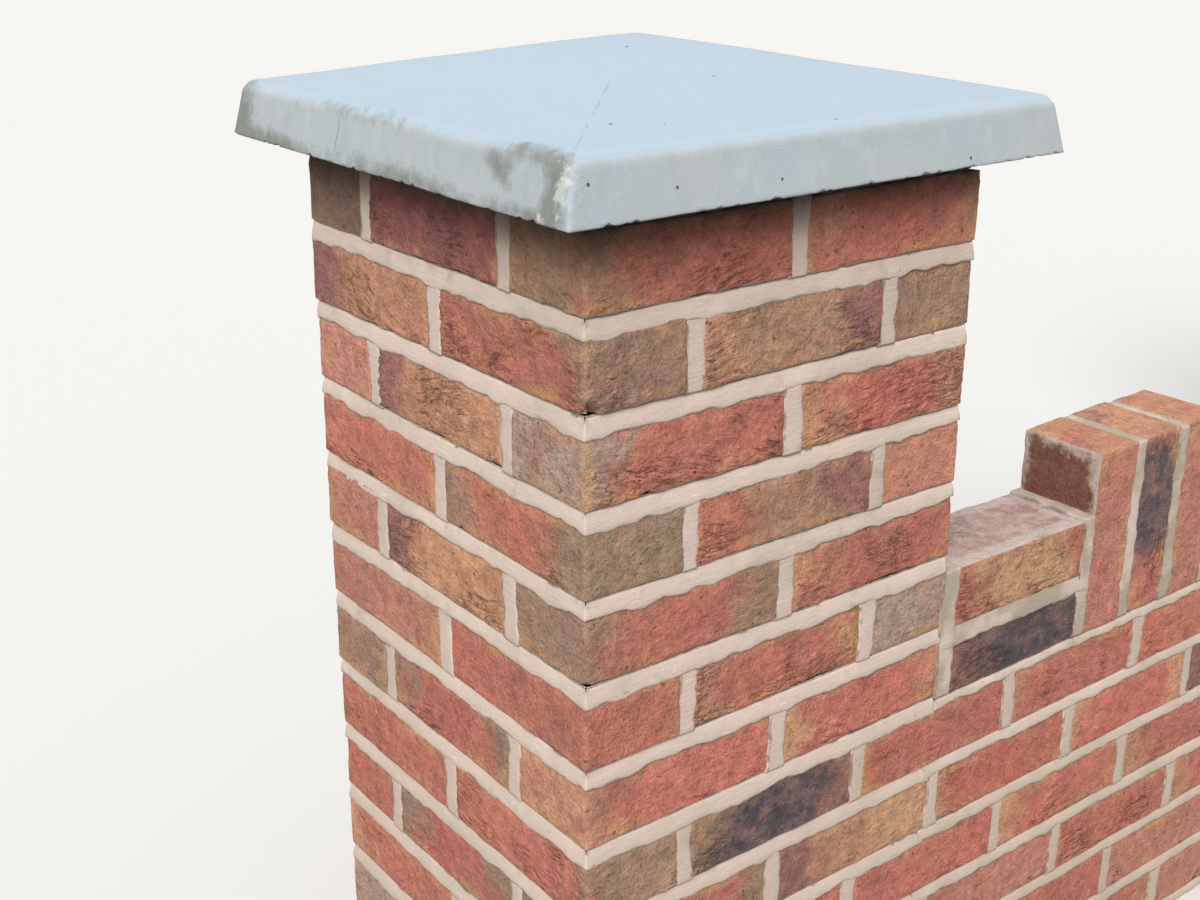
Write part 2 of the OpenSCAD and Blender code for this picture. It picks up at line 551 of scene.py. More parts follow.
def local_place(add):
    """Place of a point inside its block, as shares of the block's size and as lengths, and half the
    block's size."""
    share = add("GeometryNodeInputNamedAttribute", {"Name": "blank_co"}, data_type="FLOAT_VECTOR")
    size = add("GeometryNodeInputNamedAttribute", {"Name": "size"}, data_type="FLOAT_VECTOR")
    local = add("VectorMath.MULTIPLY", share, size)
    half = add("VectorMath.SCALE", size, {"Scale": 0.5})
    return share, local, half


def round_off(add, local, half, radius):
    """Rounds the edges of a box by a radius. Gives the new place and the way out of the surface."""
    core = add("VectorMath.SUBTRACT", half, radius)
    core_low = add("VectorMath.SCALE", core, {"Scale": -1.0})
    inner = add("VectorMath.MINIMUM", local, core)
    inner = add("VectorMath.MAXIMUM", inner, core_low)
    away = add("VectorMath.SUBTRACT", local, inner)
    outward = add("VectorMath.NORMALIZE", away)
    reach = add("VectorMath.SUBTRACT", half, core)
    bulge = add("VectorMath.MULTIPLY", outward, reach)
    return add("VectorMath.ADD", inner, bulge), outward


def set_in_place(add, shaped):
    """Turns a place inside its block to its place in the wall."""
    turn = add("GeometryNodeInputNamedAttribute", {"Name": "turn"}, data_type="FLOAT_VECTOR")
    turn = add("FunctionNodeEulerToRotation", {"Euler": turn})
    turned = add("FunctionNodeRotateVector", {"Vector": shaped, "Rotation": turn})
    centre = add("GeometryNodeInputNamedAttribute", {"Name": "centre"}, data_type="FLOAT_VECTOR")
    return add("VectorMath.ADD", turned, centre)


def finish_tree(add, geometry, position, material, stored):
    """Stores the named values, moves the points, and ends the tree in smooth faces of one material."""
    for name, (kind, value) in stored.items():
        geometry = add(
            "GeometryNodeStoreNamedAttribute",
            {"Geometry": geometry, "Name": name, "Value": value},
            data_type=kind,
            domain="POINT",
        )
    moved = add("GeometryNodeSetPosition", {"Geometry": geometry, "Position": position})
    smooth = add("GeometryNodeSetShadeSmooth", {"Geometry": moved, "Shade Smooth": True})
    finished = add("GeometryNodeSetMaterial", {"Geometry": smooth, "Material": material})
    add("NodeGroupOutput", {"Geometry": finished})


def brick_tree():
    """Tree that lays bricks: blanks with rounded, straying arrises, a gentle swell, folds and chips."""
    sockets = {
        "Blanks": "Collection", "Clay": "Material", "Upper Arris": "Float", "Lower Arris": "Float",
        "Arris Wander": "Float", "Edge Wander": "Float", "Fold Depth": "Float", "Fold Height": "Float",
        "Swell": "Float",
    }
    tree, source = new_tree("Lay bricks", sockets)
    given = source.outputs
    add = partial(add_node, tree)
    real = put_blanks(add, source)
    share, local, half = local_place(add)
    own, chip = (
        add("GeometryNodeInputNamedAttribute", {"Name": name}, data_type="FLOAT_VECTOR")
        for name in ("own", "chip")
    )
    slope, creased, chip_r = (
        add("GeometryNodeInputNamedAttribute", {"Name": name}, data_type="FLOAT")
        for name in ("slope", "creased", "chip_r")
    )
    place = add("VectorMath.ADD", local, own)

    # The arrises are small at the foot of a brick and larger and more varied at its top
    level = add("SeparateXYZ", share).outputs["Z"]
    upward = {"Value": level, "From Min": -0.5, "From Max": 0.5}
    radius = add("MapRange", {**upward, "To Min": given["Lower Arris"], "To Max": given["Upper Arris"]})
    freedom = add("MapRange", {**upward, "To Min": 0.25, "To Max": 1.0})
    wander = swing(add, place, 32, given["Arris Wander"], 4.0)
    radius = add("Math.MULTIPLY_ADD", wander, freedom, radius)
    radius = add("Math.MAXIMUM", radius, 0.7 * MM)
    rounded, outward = round_off(add, local, half, radius)

    # Two sets of folds run along the brick on slopes of their own, and each phase grows by one from
    # fold to fold
    parts = add("SeparateXYZ", local)
    along = add("Math.ADD", parts.outputs["X"], parts.outputs["Y"])
    across = add("Math.MULTIPLY", slope, -1.5)
    phases = []
    for tilt, height, size, reach in ((slope, 1.0, 60, 4.5 * MM), (across, 1.45, 44, 4 * MM)):
        rise = add("Math.MULTIPLY_ADD", along, tilt, parts.outputs["Z"])
        waver = swing(add, place, size, reach)
        rise = add("Math.ADD", rise, waver)
        fold = add("Math.MULTIPLY", given["Fold Height"], height)
        phases.append(add("Math.DIVIDE", rise, fold))

    # They lie in patches, wider on a more creased brick and towards its foot, and rarer on its ends
    clouds = add("TexNoise", {"Vector": place, "Scale": per(65), "Detail": 2.0})
    spread = add("Math.MULTIPLY_ADD", creased, 0.34, clouds)
    spread = add("Math.MULTIPLY_ADD", level, -0.16, spread)
    ends = add("Math.ABSOLUTE", add("SeparateXYZ", share).outputs["X"])
    ends = add("MapRange", {"Value": ends, "From Min": 0.47, "From Max": 0.495, "To Max": -0.13})
    spread = add("Math.ADD", spread, ends)
    crease = add(
        "MapRange", {"Value": spread, "From Min": 0.7, "From Max": 0.92}, interpolation_type="SMOOTHSTEP"
    )
    ridge = add("Math.PINGPONG", phases[0], 0.5)
    ridge = add("Math.ADD", ridge, -0.25)
    ridge = add("Math.MULTIPLY", ridge, crease)
    ridge = add("Math.MULTIPLY", ridge, 2.0)
    lift = swing(add, place, 34, given["Swell"], 3.0)
    lift = add("Math.MULTIPLY_ADD", ridge, given["Fold Depth"], lift)

    # The face falls back towards its upper arris, where the mortar laps over it
    back = add("MapRange", {"Value": level, "From Min": 0.33, "From Max": 0.43, "To Max": 0.8 * MM})
    lift = add("Math.SUBTRACT", lift, back)

    # A chip is a ragged hollow round its middle
    away = add("VectorMath.DISTANCE", local, chip).outputs["Value"]
    ragged = swing(add, place, 9, 1.2 * MM)
    away = add("Math.ADD", away, ragged)
    hollow = add("Math.SUBTRACT", chip_r, away)
    hollow = add("Math.MAXIMUM", hollow, 0.0)
    lift = add("Math.MULTIPLY_ADD", hollow, -0.65, lift)
    relief = add("VectorMath.SCALE", outward, {"Scale": lift})

    # Edges stray from straight, most of all up and down
    stray = add("TexNoise", {"Vector": place, "Scale": per(75), "Detail": 2.0})
    stray = add("VectorMath.SUBTRACT", stray.outputs["Color"], (0.5, 0.5, 0.5))
    stray = add("VectorMath.MULTIPLY", stray, (1.2, 0.8, 2.6))
    stray = add("VectorMath.SCALE", stray, {"Scale": given["Edge Wander"]})
    shaped = add("VectorMath.ADD", rounded, relief)
    shaped = add("VectorMath.ADD", shaped, stray)

    # Distance to the nearest arris: of the distances to the three pairs of sides, the middle one
    gaps = add("VectorMath.ABSOLUTE", local)
    gaps = add("VectorMath.SUBTRACT", half, gaps)
    x, y, z = add("SeparateXYZ", gaps).outputs
    low = add("Math.MINIMUM", x, y)
    high = add("Math.MAXIMUM", x, y)
    edge = add("Math.MINIMUM", high, z)
    edge = add("Math.MAXIMUM", low, edge)
    folds = add("CombineXYZ", {"X": phases[0], "Y": phases[1], "Z": crease})
    stored = {
        "clay_co": ("FLOAT_VECTOR", place),
        "folds": ("FLOAT_VECTOR", folds),
        "edge": ("FLOAT", edge),
        "hollow": ("FLOAT", hollow),
    }
    finish_tree(add, real, set_in_place(add, shaped), given["Clay"], stored)
    return tree


def joint_tree():
    """Tree that points joints: lengths of mortar struck back from flush towards their upper edge."""
    sockets = {"Blanks": "Collection", "Mortar": "Material", "Wander": "Float", "Roughness": "Float"}
    tree, source = new_tree("Point joints", sockets)
    add = partial(add_node, tree)
    real = put_blanks(add, source)
    share, local, half = local_place(add)
    low_depth, high_depth, loose = (
        add("GeometryNodeInputNamedAttribute", {"Name": name}, data_type="FLOAT")
        for name in ("low_depth", "high_depth", "loose")
    )
    rounded, outward = round_off(add, local, half, (1.0 * MM, 1.0 * MM, 1.0 * MM))
    place = set_in_place(add, local)
    level = add("SeparateXYZ", share).outputs["Z"]
    level = add("Math.ADD", level, 0.5)
    bent = add("Math.POWER", level, 1.6)
    depth = add("MapRange", {"Value": bent, "To Min": low_depth, "To Max": high_depth})
    uneven = swing(add, place, 28, source.outputs["Roughness"], 3.0)
    depth = add("Math.ADD", depth, uneven)
    depth = add("Math.MULTIPLY", depth, -1.0)
    sunk = add("VectorMath.SCALE", outward, {"Scale": depth})
    sunk = add("VectorMath.ADD", rounded, sunk)

    # The edge that laps over the brick is ragged. The struck edge is as loose as the joint is told
    ragged = swing(add, place, 20, source.outputs["Wander"], 4.0)
    ragged = add("Math.ADD", swing(add, place, 80, source.outputs["Wander"]), ragged)
    fade = add("MapRange", {"Value": level, "To Min": 1.0, "To Max": loose})
    ragged = add("Math.MULTIPLY", ragged, fade)
    ragged = add("CombineXYZ", {"Z": ragged})
    sunk = add("VectorMath.ADD", sunk, ragged)
    finish_tree(add, real, set_in_place(add, sunk), source.outputs["Mortar"], {})
    return tree


def sanded(add, place, body, size, depth, level):
    """Speckles the body with sand whose grains are about size millimetres. Gives the sand too."""
    sand = add("TexNoise", {"Vector": place, "Scale": per(size), "Detail": 3.0, "Roughness": 0.7})
    shade = add("Math.MULTIPLY_ADD", sand, depth, level)
    return sand, add("HueSaturation", {"Value": shade, "Color": body})


def finish_material(add, body, height, unit, roughness, gloss):
    """Ends a material in a dull surface with a relief, whose heights are in units of that length."""
    bump = add("Bump", {"Strength": 1.0, "Distance": unit, "Height": height})
    shader = add(
        "BsdfPrincipled",
        {"Base Color": body, "Normal": bump, "Roughness": roughness, "Specular IOR Level": gloss},
    )
    add("OutputMaterial", {"Surface": shader})


def material_of(name, build):
    """The material of that name, which build makes the first time."""
    material = bpy.data.materials.get(name)
    if material is None:
        material = bpy.data.materials.new(name)
        material.use_nodes = True
        material.node_tree.nodes.clear()
        build(partial(add_node, material.node_tree))
    return material


# How far below its cap a pier is darkened, by dirt and by painted shade from the cap
DIRT_AND_SHADE_REACH = 40 * MM


def dirt_and_shade_under_cap(add, body):
    """Darkens the top of a pier with dirt, where the cap keeps off the rain that washes the rest, and
    with painted shade under the cap.
    """
    place = add("TexCoord").outputs["Object"]
    rise = add("SeparateXYZ", place).outputs["Z"]
    rise = add("Math.ADD", rise, swing(add, place, 24, 4 * MM))
    dirt_and_shade = add("MapRange", {"Value": rise, "From Min": PIER_TOP - DIRT_AND_SHADE_REACH, "From Max": PIER_TOP})
    dirt_and_shade = add("Math.POWER", dirt_and_shade, 1.7)
    dirt_and_shade = add("Math.MULTIPLY", dirt_and_shade, 0.78)
    return add("Mix", {"Factor": dirt_and_shade, "A": body, "B": rgba("#332A26")}, data_type="RGBA")


def facing_brick(add):
    """Soft-mud facing brick: thrown into a sanded mould, so creased, gritty and dull, and fired
    unevenly, so that its ends differ from its middle."""
    place, share, folds = (
        add("Attribute", attribute_name=name).outputs["Vector"]
        for name in ("clay_co", "blank_co", "folds")
    )
    edge, hollow, film = (
        add("Attribute", attribute_name=name).outputs["Fac"]
        for name in ("edge", "hollow", "film")
    )
    shift = add("VectorMath.ADD", place, (3.1, 1.7, 5.3))
    share = add("SeparateXYZ", share)
    folds = add("SeparateXYZ", folds)
    crease = folds.outputs["Z"]

    # The ends take other colours than the middle, with a broad ragged border
    border = add("TexNoise", {"Vector": place, "Scale": per(60), "Detail": 4.0, "Roughness": 0.62})
    along = add("Math.ADD", border, share.outputs["X"])
    body = add("Attribute", attribute_name="tone_middle").outputs["Color"]
    for tone, limit, start, end in (
        ("tone_start", "middle_begins", 1.0, 0.0),
        ("tone_end", "middle_ends", 0.0, 1.0),
    ):
        limit = add("Attribute", attribute_name=limit).outputs["Fac"]
        past = add("Math.SUBTRACT", along, limit)
        cover = add(
            "MapRange",
            {"Value": past, "From Min": -0.13, "From Max": 0.13, "To Min": start, "To Max": end},
            interpolation_type="SMOOTHSTEP",
        )
        tone = add("Attribute", attribute_name=tone).outputs["Color"]
        body = add("Mix", {"Factor": cover, "A": body, "B": tone}, data_type="RGBA")

    # Flashing in the kiln: plum, orange and rosy clouds and straw rims on red clay, and russet and
    # plum flecks where the clay is burnt
    redness = add("SeparateColor", {"Color": body}).outputs["Red"]
    redness = add("MapRange", {"Value": redness, "From Min": 0.1, "From Max": 0.36})
    burnt = add("Math.SUBTRACT", 1.0, redness)
    clouds = (
        (place, 38, 0.48, 0.72, 0.5, "#8A5C53", redness),
        (shift, 24, 0.5, 0.72, 0.36, "#B0805F", redness),
        (shift, 60, 0.5, 0.7, 0.3, "#A9705D", redness),
        (shift, 22, 0.42, 0.62, 0.7, "#7C605D", burnt),
        (place, 15, 0.5, 0.68, 0.42, "#8A6454", burnt),
    )
    body = clouded(add, body, clouds)
    rim = add(
        "MapRange",
        {"Value": edge, "From Min": 4 * MM, "From Max": 17 * MM, "To Min": 0.65, "To Max": 0.0},
    )
    rim = add("Math.MULTIPLY", rim, patches(add, shift, 75, 0.5, 0.62))
    rim = add("Math.MULTIPLY", rim, redness)
    worn = add("MapRange", {"Value": edge, "From Max": 5 * MM, "To Min": 0.18, "To Max": 0.0})
    for cover, colour in ((rim, "#B58A60"), (worn, "#B08A76")):
        body = add("Mix", {"Factor": cover, "A": body, "B": rgba(colour)}, data_type="RGBA")

    # Crumbs of clay dragged along the folds, lumps, and moulding sand, drawn coarser than its real
    # half millimetre so that it shows
    drag = add("Math.MULTIPLY", folds.outputs["X"], 38 * MM)
    spots = add("SeparateXYZ", place)
    flow = add("CombineXYZ", {"X": spots.outputs["X"], "Y": spots.outputs["Y"], "Z": drag})
    eased = add("VectorMath.MULTIPLY", flow, (1.0, 1.0, 0.6))
    crumb = add("TexNoise", {"Vector": eased, "Scale": per(11), "Detail": 5.0, "Roughness": 0.7})
    sand = add("TexNoise", {"Vector": place, "Scale": per(3.2), "Detail": 3.0, "Roughness": 0.75})
    lumps = add("TexNoise", {"Vector": shift, "Scale": per(9), "Detail": 4.0, "Roughness": 0.68})
    blots = add("TexNoise", {"Vector": place, "Scale": per(14), "Detail": 2.0, "Roughness": 0.5})
    spread = add("MapRange", {"Value": crease, "To Min": 0.25, "To Max": 1.0})
    shade = add("Math.SUBTRACT", crumb, 0.5)
    shade = add("Math.MULTIPLY", shade, spread)
    shade = add("Math.MULTIPLY_ADD", shade, 1.75, -0.395)
    for detail, share_of in ((blots, 0.8), (lumps, 0.85), (sand, 1.45)):
        shade = add("Math.MULTIPLY_ADD", detail, share_of, shade)
    body = add("HueSaturation", {"Value": shade, "Color": body})
    grain = patches(add, shift, 2.4, 0.62, 0.74, 0.25, 1.0)
    grain = add("Math.MULTIPLY", grain, redness)
    pits = patches(add, place, 6.5, 0.71, 0.78, 0.7, 1.0)

    # Short torn cracks open along the drag, more of them where the folds crowd together
    torn = warped(add, flow, 6, 0.9 * MM)
    tear = add("TexNoise", {"Vector": torn, "Scale": per(22), "Detail": 5.0, "Roughness": 0.64})
    tear = add("Math.MULTIPLY_ADD", crease, -0.1, tear)
    tear = add(
        "MapRange", {"Value": tear, "From Min": 0.275, "From Max": 0.32, "To Min": 1.0, "To Max": 0.0}
    )

    # In the heart of a patch the cracks join into a net that parts the skin into scales
    crowd = warped(add, warped(add, flow, 15, 4 * MM), 4, 0.8 * MM)
    scales = add("TexVoronoi", {"Vector": crowd, "Scale": per(21)}, feature="DISTANCE_TO_EDGE")
    width = patches(add, shift, 13, 0.46, 0.62, 0.06, 3.0)
    net = add("MapRange", {"Value": scales, "From Max": width, "To Min": 0.9, "To Max": 0.0})
    heart = add("MapRange", {"Value": crease, "From Min": 0.5, "From Max": 0.95})
    slits = add("Math.MULTIPLY", net, heart)

    # A few longer slits follow both sets of folds and thin out towards their ends
    jag = swing(add, place, 5, 0.05)
    for phase, fold, vector, widest in (("X", 11.0, place, 0.65), ("Y", 16.0, shift, 0.8)):
        width = patches(add, vector, 40, 0.5, 0.68, widest, 2.0)
        slit = add("Math.ADD", folds.outputs[phase], jag)
        slit = add("Math.PINGPONG", slit, 0.5)
        slit = add("Math.MULTIPLY", slit, fold)
        slit = add("MapRange", {"Value": slit, "From Max": width, "To Min": 1.0, "To Max": 0.0})
        slits = add("Math.MAXIMUM", slits, slit)
    slits = add("Math.MULTIPLY", slits, crease)
    tear = add("Math.MULTIPLY", tear, 0.75)
    slits = add("Math.MAXIMUM", slits, tear)
    # The slits and torn cracks are drawn dark: painted shade in their gaps
    painted_crack_shade = add("Math.MULTIPLY", slits, 0.66)
    broken = add("MapRange", {"Value": hollow, "From Max": 5 * MM, "To Max": 0.7})
    for cover, colour in ((grain, "#D8BEA8"), (pits, "#6A4236"), (painted_crack_shade, "#55342B"), (broken, "#6B4437")):
        body = add("Mix", {"Factor": cover, "A": body, "B": rgba(colour)}, data_type="RGBA")

    # Mortar film: at the margins of a bed face that was never built on, or over most of it
    bed_face = add("Math.ABSOLUTE", share.outputs["Z"])
    bed_face = add("MapRange", {"Value": bed_face, "From Min": 0.485, "From Max": 0.495})
    dull = add("Math.MULTIPLY", bed_face, 0.65)
    tone = add("Attribute", attribute_name="tone_bed").outputs["Color"]
    body = add("Mix", {"Factor": dull, "A": body, "B": tone}, data_type="RGBA")
    margin = add("MapRange", {"Value": edge, "From Max": 22 * MM, "To Min": 0.42, "To Max": 0.0})
    clouds = add("TexNoise", {"Vector": place, "Scale": per(18), "Detail": 5.0, "Roughness": 0.7})
    cover = add("Math.ADD", clouds, margin)
    cover = add("Math.ADD", cover, film)
    cover = add("MapRange", {"Value": cover, "From Min": 0.6, "From Max": 0.85, "To Max": 0.85})
    cover = add("Math.MULTIPLY", cover, bed_face)
    body = add("Mix", {"Factor": cover, "A": body, "B": rgba("#CBBAB0")}, data_type="RGBA")
    # Dirt and painted shade darken the top of the pier under the cap
    body = dirt_and_shade_under_cap(add, body)

    # Heights in millimetres
    height = add("Math.FRACT", folds.outputs["X"])
    height = add("Math.SUBTRACT", 1.0, height)
    height = add("Math.MULTIPLY", height, crease)
    scale_up = add("MapRange", {"Value": scales, "From Max": 0.3, "To Max": 1.1})
    bumps = add("Math.MULTIPLY", crumb, spread)
    for detail, rise in (
        (scale_up, heart), (slits, -1.1), (bumps, 5.6), (lumps, 3.2), (sand, 1.9), (pits, -1.0)
    ):
        height = add("Math.MULTIPLY_ADD", detail, rise, height)
    finish_material(add, body, height, 1.0 * MM, 0.92, 0.25)


def struck_mortar(add):
    """Sand, lime and cement mortar pressed smooth with a trowel: pale pinkish buff, close and dull."""
    place = add("TexCoord").outputs["Object"]
    drawn = add("VectorMath.MULTIPLY", place, (1.0, 1.0, 5.0))
    clouds = (
        (place, 110, 0.42, 0.64, 0.7, "#C4B3A4"),
        (drawn, 46, 0.5, 0.7, 0.5, "#D5C5BA"),
        (place, 22, 0.55, 0.75, 0.55, "#B09E8F"),
    )
    body = clouded(add, rgba("#D2BEB1"), clouds)
    rise = add("SeparateXYZ", place).outputs["Z"]
    rise = add("MapRange", {"Value": rise, "From Max": 0.6, "To Min": 0.7, "To Max": 0.0})
    body = add("Mix", {"Factor": rise, "A": body, "B": rgba("#BBA894")}, data_type="RGBA")

    # Joints that stay damp turn grey
    damp = add("Attribute", attribute_name="grey").outputs["Fac"]
    damp = add("Math.MULTIPLY", damp, patches(add, place, 60, 0.36, 0.6))
    body = add("Mix", {"Factor": damp, "A": body, "B": rgba("#A39782")}, data_type="RGBA")
    sand, body = sanded(add, place, body, 2.0, 0.24, 0.89)

    # Grime and painted shade darken the crack where the trowel left the brick above
    level = add("Attribute", attribute_name="blank_co").outputs["Vector"]
    level = add("SeparateXYZ", level).outputs["Z"]
    brick_edge = add("Attribute", attribute_name="brick_edge").outputs["Fac"]
    below = add("Math.SUBTRACT", level, brick_edge)
    crack = add("MapRange", {"Value": below, "From Min": -0.07, "From Max": 0.0, "To Max": 0.75})
    broken = patches(add, place, 17, 0.4, 0.6)
    crack = add("Math.MULTIPLY", crack, broken)
    body = add("Mix", {"Factor": crack, "A": body, "B": rgba("#7A685C")}, data_type="RGBA")
    # Dirt and painted shade darken the top of the pier's mortar under the cap
    body = dirt_and_shade_under_cap(add, body)
    waves = add("TexNoise", {"Vector": drawn, "Scale": per(16), "Detail": 3.0})
    height = add("Math.MULTIPLY_ADD", waves, 1.2, sand)
    finish_material(add, body, height, 0.5 * MM, 0.95, 0.2)


def hairline(add, distance, low, high, most):
    """A line where a distance is less than low, which is gone by high."""
    near = add("Math.ABSOLUTE", distance)
    return add(
        "MapRange", {"Value": near, "From Min": low, "From Max": high, "To Min": most, "To Max": 0.0}
    )


def cast_concrete(add):
    """Wet-cast concrete: smooth and pale from the mould, with damp grey patches, laitance, pinholes,
    and faint lines where the slopes of the mould met."""
    place = add("TexCoord").outputs["Object"]
    upright = add("VectorMath.MULTIPLY", place, (1.0, 1.0, 0.7))
    top = add("Attribute", attribute_name="top").outputs["Fac"]
    top = add(
        "MapRange", {"Value": top, "From Min": 0.1, "From Max": 0.9}, interpolation_type="SMOOTHSTEP"
    )
    # The slopes are a bluer grey than the edge: a painted reflection of the sky
    body = add("Mix", {"Factor": top, "A": rgba("#AEB4B5"), "B": rgba("#A9B7C2")}, data_type="RGBA")
    edge_only = add("MapRange", {"Value": top, "To Min": 1.0, "To Max": 0.25})
    clouds = (
        (place, 130, 0.42, 0.66, 0.35, "#A2AFBA", edge_only),
        (upright, 34, 0.48, 0.72, 0.4, "#A0A6A6", edge_only),
        (upright, 20, 0.5, 0.74, 0.3, "#C0C6C6", edge_only),
    )
    body = clouded(add, body, clouds)

    # Damp and laitance, whose patches the mesh carries, with ragged borders
    for name, size, low, high, most, colour in (
        ("damp", 15, 0.26, 0.94, 1.0, "#82867F"),
        ("chalk", 7, 0.42, 0.6, 0.7, "#CFD3CF"),
    ):
        ragged = add("TexNoise", {"Vector": place, "Scale": per(size), "Detail": 7.0, "Roughness": 0.75})
        ragged = add("Math.MULTIPLY_ADD", ragged, 1.9, -0.95)
        strength = add("Attribute", attribute_name=name).outputs["Fac"]
        strength = add("Math.ADD", strength, ragged)
        depth = patches(add, upright, 26, 0.0, 0.5, most)
        cover = add("MapRange", {"Value": strength, "From Min": low, "From Max": high, "To Max": depth})
        body = add("Mix", {"Factor": cover, "A": body, "B": rgba(colour)}, data_type="RGBA")
    sand, body = sanded(add, place, body, 1.8, 0.16, 0.92)

    # Hairlines: along the ridges, and a shrinkage crack in one edge, whose grey line is painted shade in
    # the crack
    cap_co = add("Attribute", attribute_name="cap_co").outputs["Vector"]
    x, y, z = add("SeparateXYZ", cap_co).outputs
    wobble = swing(add, place, 14, 0.9 * MM, 3.0)
    over_x, over_y = (add("Math.ABSOLUTE", value) for value in (x, y))
    off = add("Math.SUBTRACT", over_x, over_y)
    off = add("Math.ADD", off, wobble)
    ridge = hairline(add, off, 0.5 * MM, 1.4 * MM, 0.4)
    ridge = add("Math.MULTIPLY", ridge, top)
    ridge = add("Math.MULTIPLY", ridge, patches(add, place, 14, 0.4, 0.62))
    outer = add("MapRange", {"Value": over_x, "From Min": 0.03, "From Max": 0.16, "To Min": 0.35})
    ridge = add("Math.MULTIPLY", ridge, outer)
    off = add("Math.SUBTRACT", y, CRACK_PLACE)
    off = add("Math.MULTIPLY_ADD", z, 0.15, off)
    off = add("Math.ADD", off, wobble)
    crack = hairline(add, off, 0.3 * MM, 1.0 * MM, 0.6)
    for value, low, high in ((x, -0.25, -0.26), (z, 0.046, 0.038), (z, 0.006, 0.01)):
        inside = add("MapRange", {"Value": value, "From Min": low, "From Max": high})
        crack = add("Math.MULTIPLY", crack, inside)
    lines = add("Math.MAXIMUM", ridge, crack)
    body = add("Mix", {"Factor": lines, "A": body, "B": rgba("#767A7A")}, data_type="RGBA")

    # Pinholes of trapped air, fewer on the slopes
    holes = add("TexVoronoi", {"Vector": place, "Scale": per(21)})
    chosen = add("SeparateXYZ", holes.outputs["Color"]).outputs["X"]
    fewer = add("MapRange", {"Value": top, "To Min": 0.5, "To Max": 0.9})
    chosen = add("Math.GREATER_THAN", chosen, fewer)
    pit = hairline(add, holes.outputs["Distance"], 0.045, 0.075, 1.0)
    pit = add("Math.MULTIPLY", pit, chosen)
    body = add("Mix", {"Factor": pit, "A": body, "B": rgba("#55534E")}, data_type="RGBA")
    height = add("Math.MULTIPLY_ADD", pit, -3.0, sand)
    height = add("Math.MULTIPLY_ADD", lines, -1.5, height)
    finish_material(add, body, height, 0.4 * MM, 0.85, 0.3)


# Cell sizes of the brick meshes: on the near pier's faces towards the camera, on the panel's front
# as far as two places along the wall, and on all the rest
NEAR_CELL = 3.4 * MM
NEAR_END = -0.3
PANEL_CELLS = ((NEAR_END, 3.6 * MM), (0.1, 5.2 * MM))
FAR_CELL = 7.5 * MM

# Colours of the bed faces: the usual one, the low coping's, and the soldiers', which is dark clay with
# painted shade
BED_TONE = "#7F5548"
LOW_BED_TONE = "#A38A8B"
SOLDIER_BED_TONE_AND_SHADE = "#2B1E18"

# How far the mortar film spreads over a bed face of the coping. At 0 it keeps to the margins
LOW_FILM = 0.17
SOLDIER_FILM = -0.02

# Chips that show well from the front: at the near corner of a course, and in a soldier's edge
CORNER_CHIP = Chip((0.5, -0.46, -0.46), 11 * MM)
SOLDIER_CHIP = Chip((-0.1, -0.5, 0.5), 8 * MM)
CHIPPED_COURSE = 12

# Share of the other bricks that keep all their edges
UNCHIPPED = 0.7


def random_chip(rng):
    """Sometimes a chip somewhere along an edge of the face."""
    if rng.random() < UNCHIPPED:
        return Chip((0, 0, 0), 0.0)
    return Chip((rng.uniform(-0.5, 0.5), -0.5, rng.choice((-0.5, 0.5))), rng.uniform(3, 6) * MM)


def brick(centre, turn, size, cells, sort, rng, stray, chip=None, film=0.0, bed_tone=BED_TONE):
    """A brick laid a little off its line, most of all lengthways, with its own creases and colours."""
    off = Vector((rng.uniform(-2, 2), rng.uniform(-1, 1), rng.uniform(-1.2, 1.2))) * stray
    centre = Vector(centre) + Euler(turn).to_matrix() @ off
    turn = tuple(angle + math.radians(rng.uniform(-0.3, 0.3)) for angle in turn)
    kind = SORTS[sort]
    shade = rng.uniform(0.9, 1.1)
    some_chip = random_chip(rng)
    chip = chip or some_chip

    def tone(name):
        return tuple(shade * channel * rng.uniform(0.96, 1.04) for channel in FIRED[name])

    values = {
        "own": tuple(rng.uniform(1, 9) for _ in range(3)),
        "slope": rng.uniform(-0.25, 0.25),
        "middle_begins": kind.begins,
        "middle_ends": kind.ends,
        "creased": kind.creased,
        "film": film,
        "chip": tuple(share * length for share, length in zip(chip.place, size)),
        "chip_r": chip.radius,
        "tone_start": tone(kind.start),
        "tone_middle": tone(kind.middle),
        "tone_end": tone(kind.end),
        "tone_bed": linear(bed_tone),
    }
    return Block(tuple(centre), turn, size, tuple(sorted(cells.items())), values)


# The pier's bricks are a little short, so that its upright joints are wider than they were set out:
# how much is off the inner end of a corner brick, and off each end of a brick between two headers
CORNER_SHORT = 1.2 * MM
BETWEEN_SHORT = 3.0 * MM


def pier_plan():
    """Bricks of an odd course of a pier, going round from the front left: centre in the plan from the
    front left corner, turn in quarter circles, length, and the sides that show."""
    length = BRICK_L - CORNER_SHORT
    between = BRICK_L - 2 * BETWEEN_SHORT
    along = length / 2
    deep = BRICK_W / 2
    return [
        ((along, deep), 0, length, ("-y", "-x")),
        ((PIER_W - along, deep), 0, length, ("-y", "+x")),
        ((PIER_W - along, PIER_W - deep), 2, length, ("-y", "-x")),
        ((along, PIER_W - deep), 2, length, ("-y", "+x")),
        ((deep, PIER_W / 2), -1, between, ("-y",)),
        ((PIER_W - deep, PIER_W / 2), 1, between, ("-y",)),
    ]


# Which bricks of the plan show from the front left, from left to right
ODD_WORD = (3, 4, 0, 1)
EVEN_WORD = (0, 1, 5, 2)

# Which way a side of a brick looks before it is turned, in quarter circles from the front
LOOKS = {"-y": 0, "+x": 1, "+y": 2, "-x": 3}
NEAR_LOOKS = (0, 3)


def toothed(course):
    return course <= PANEL_COURSES and (PANEL_COURSES - course) % 2 == 0


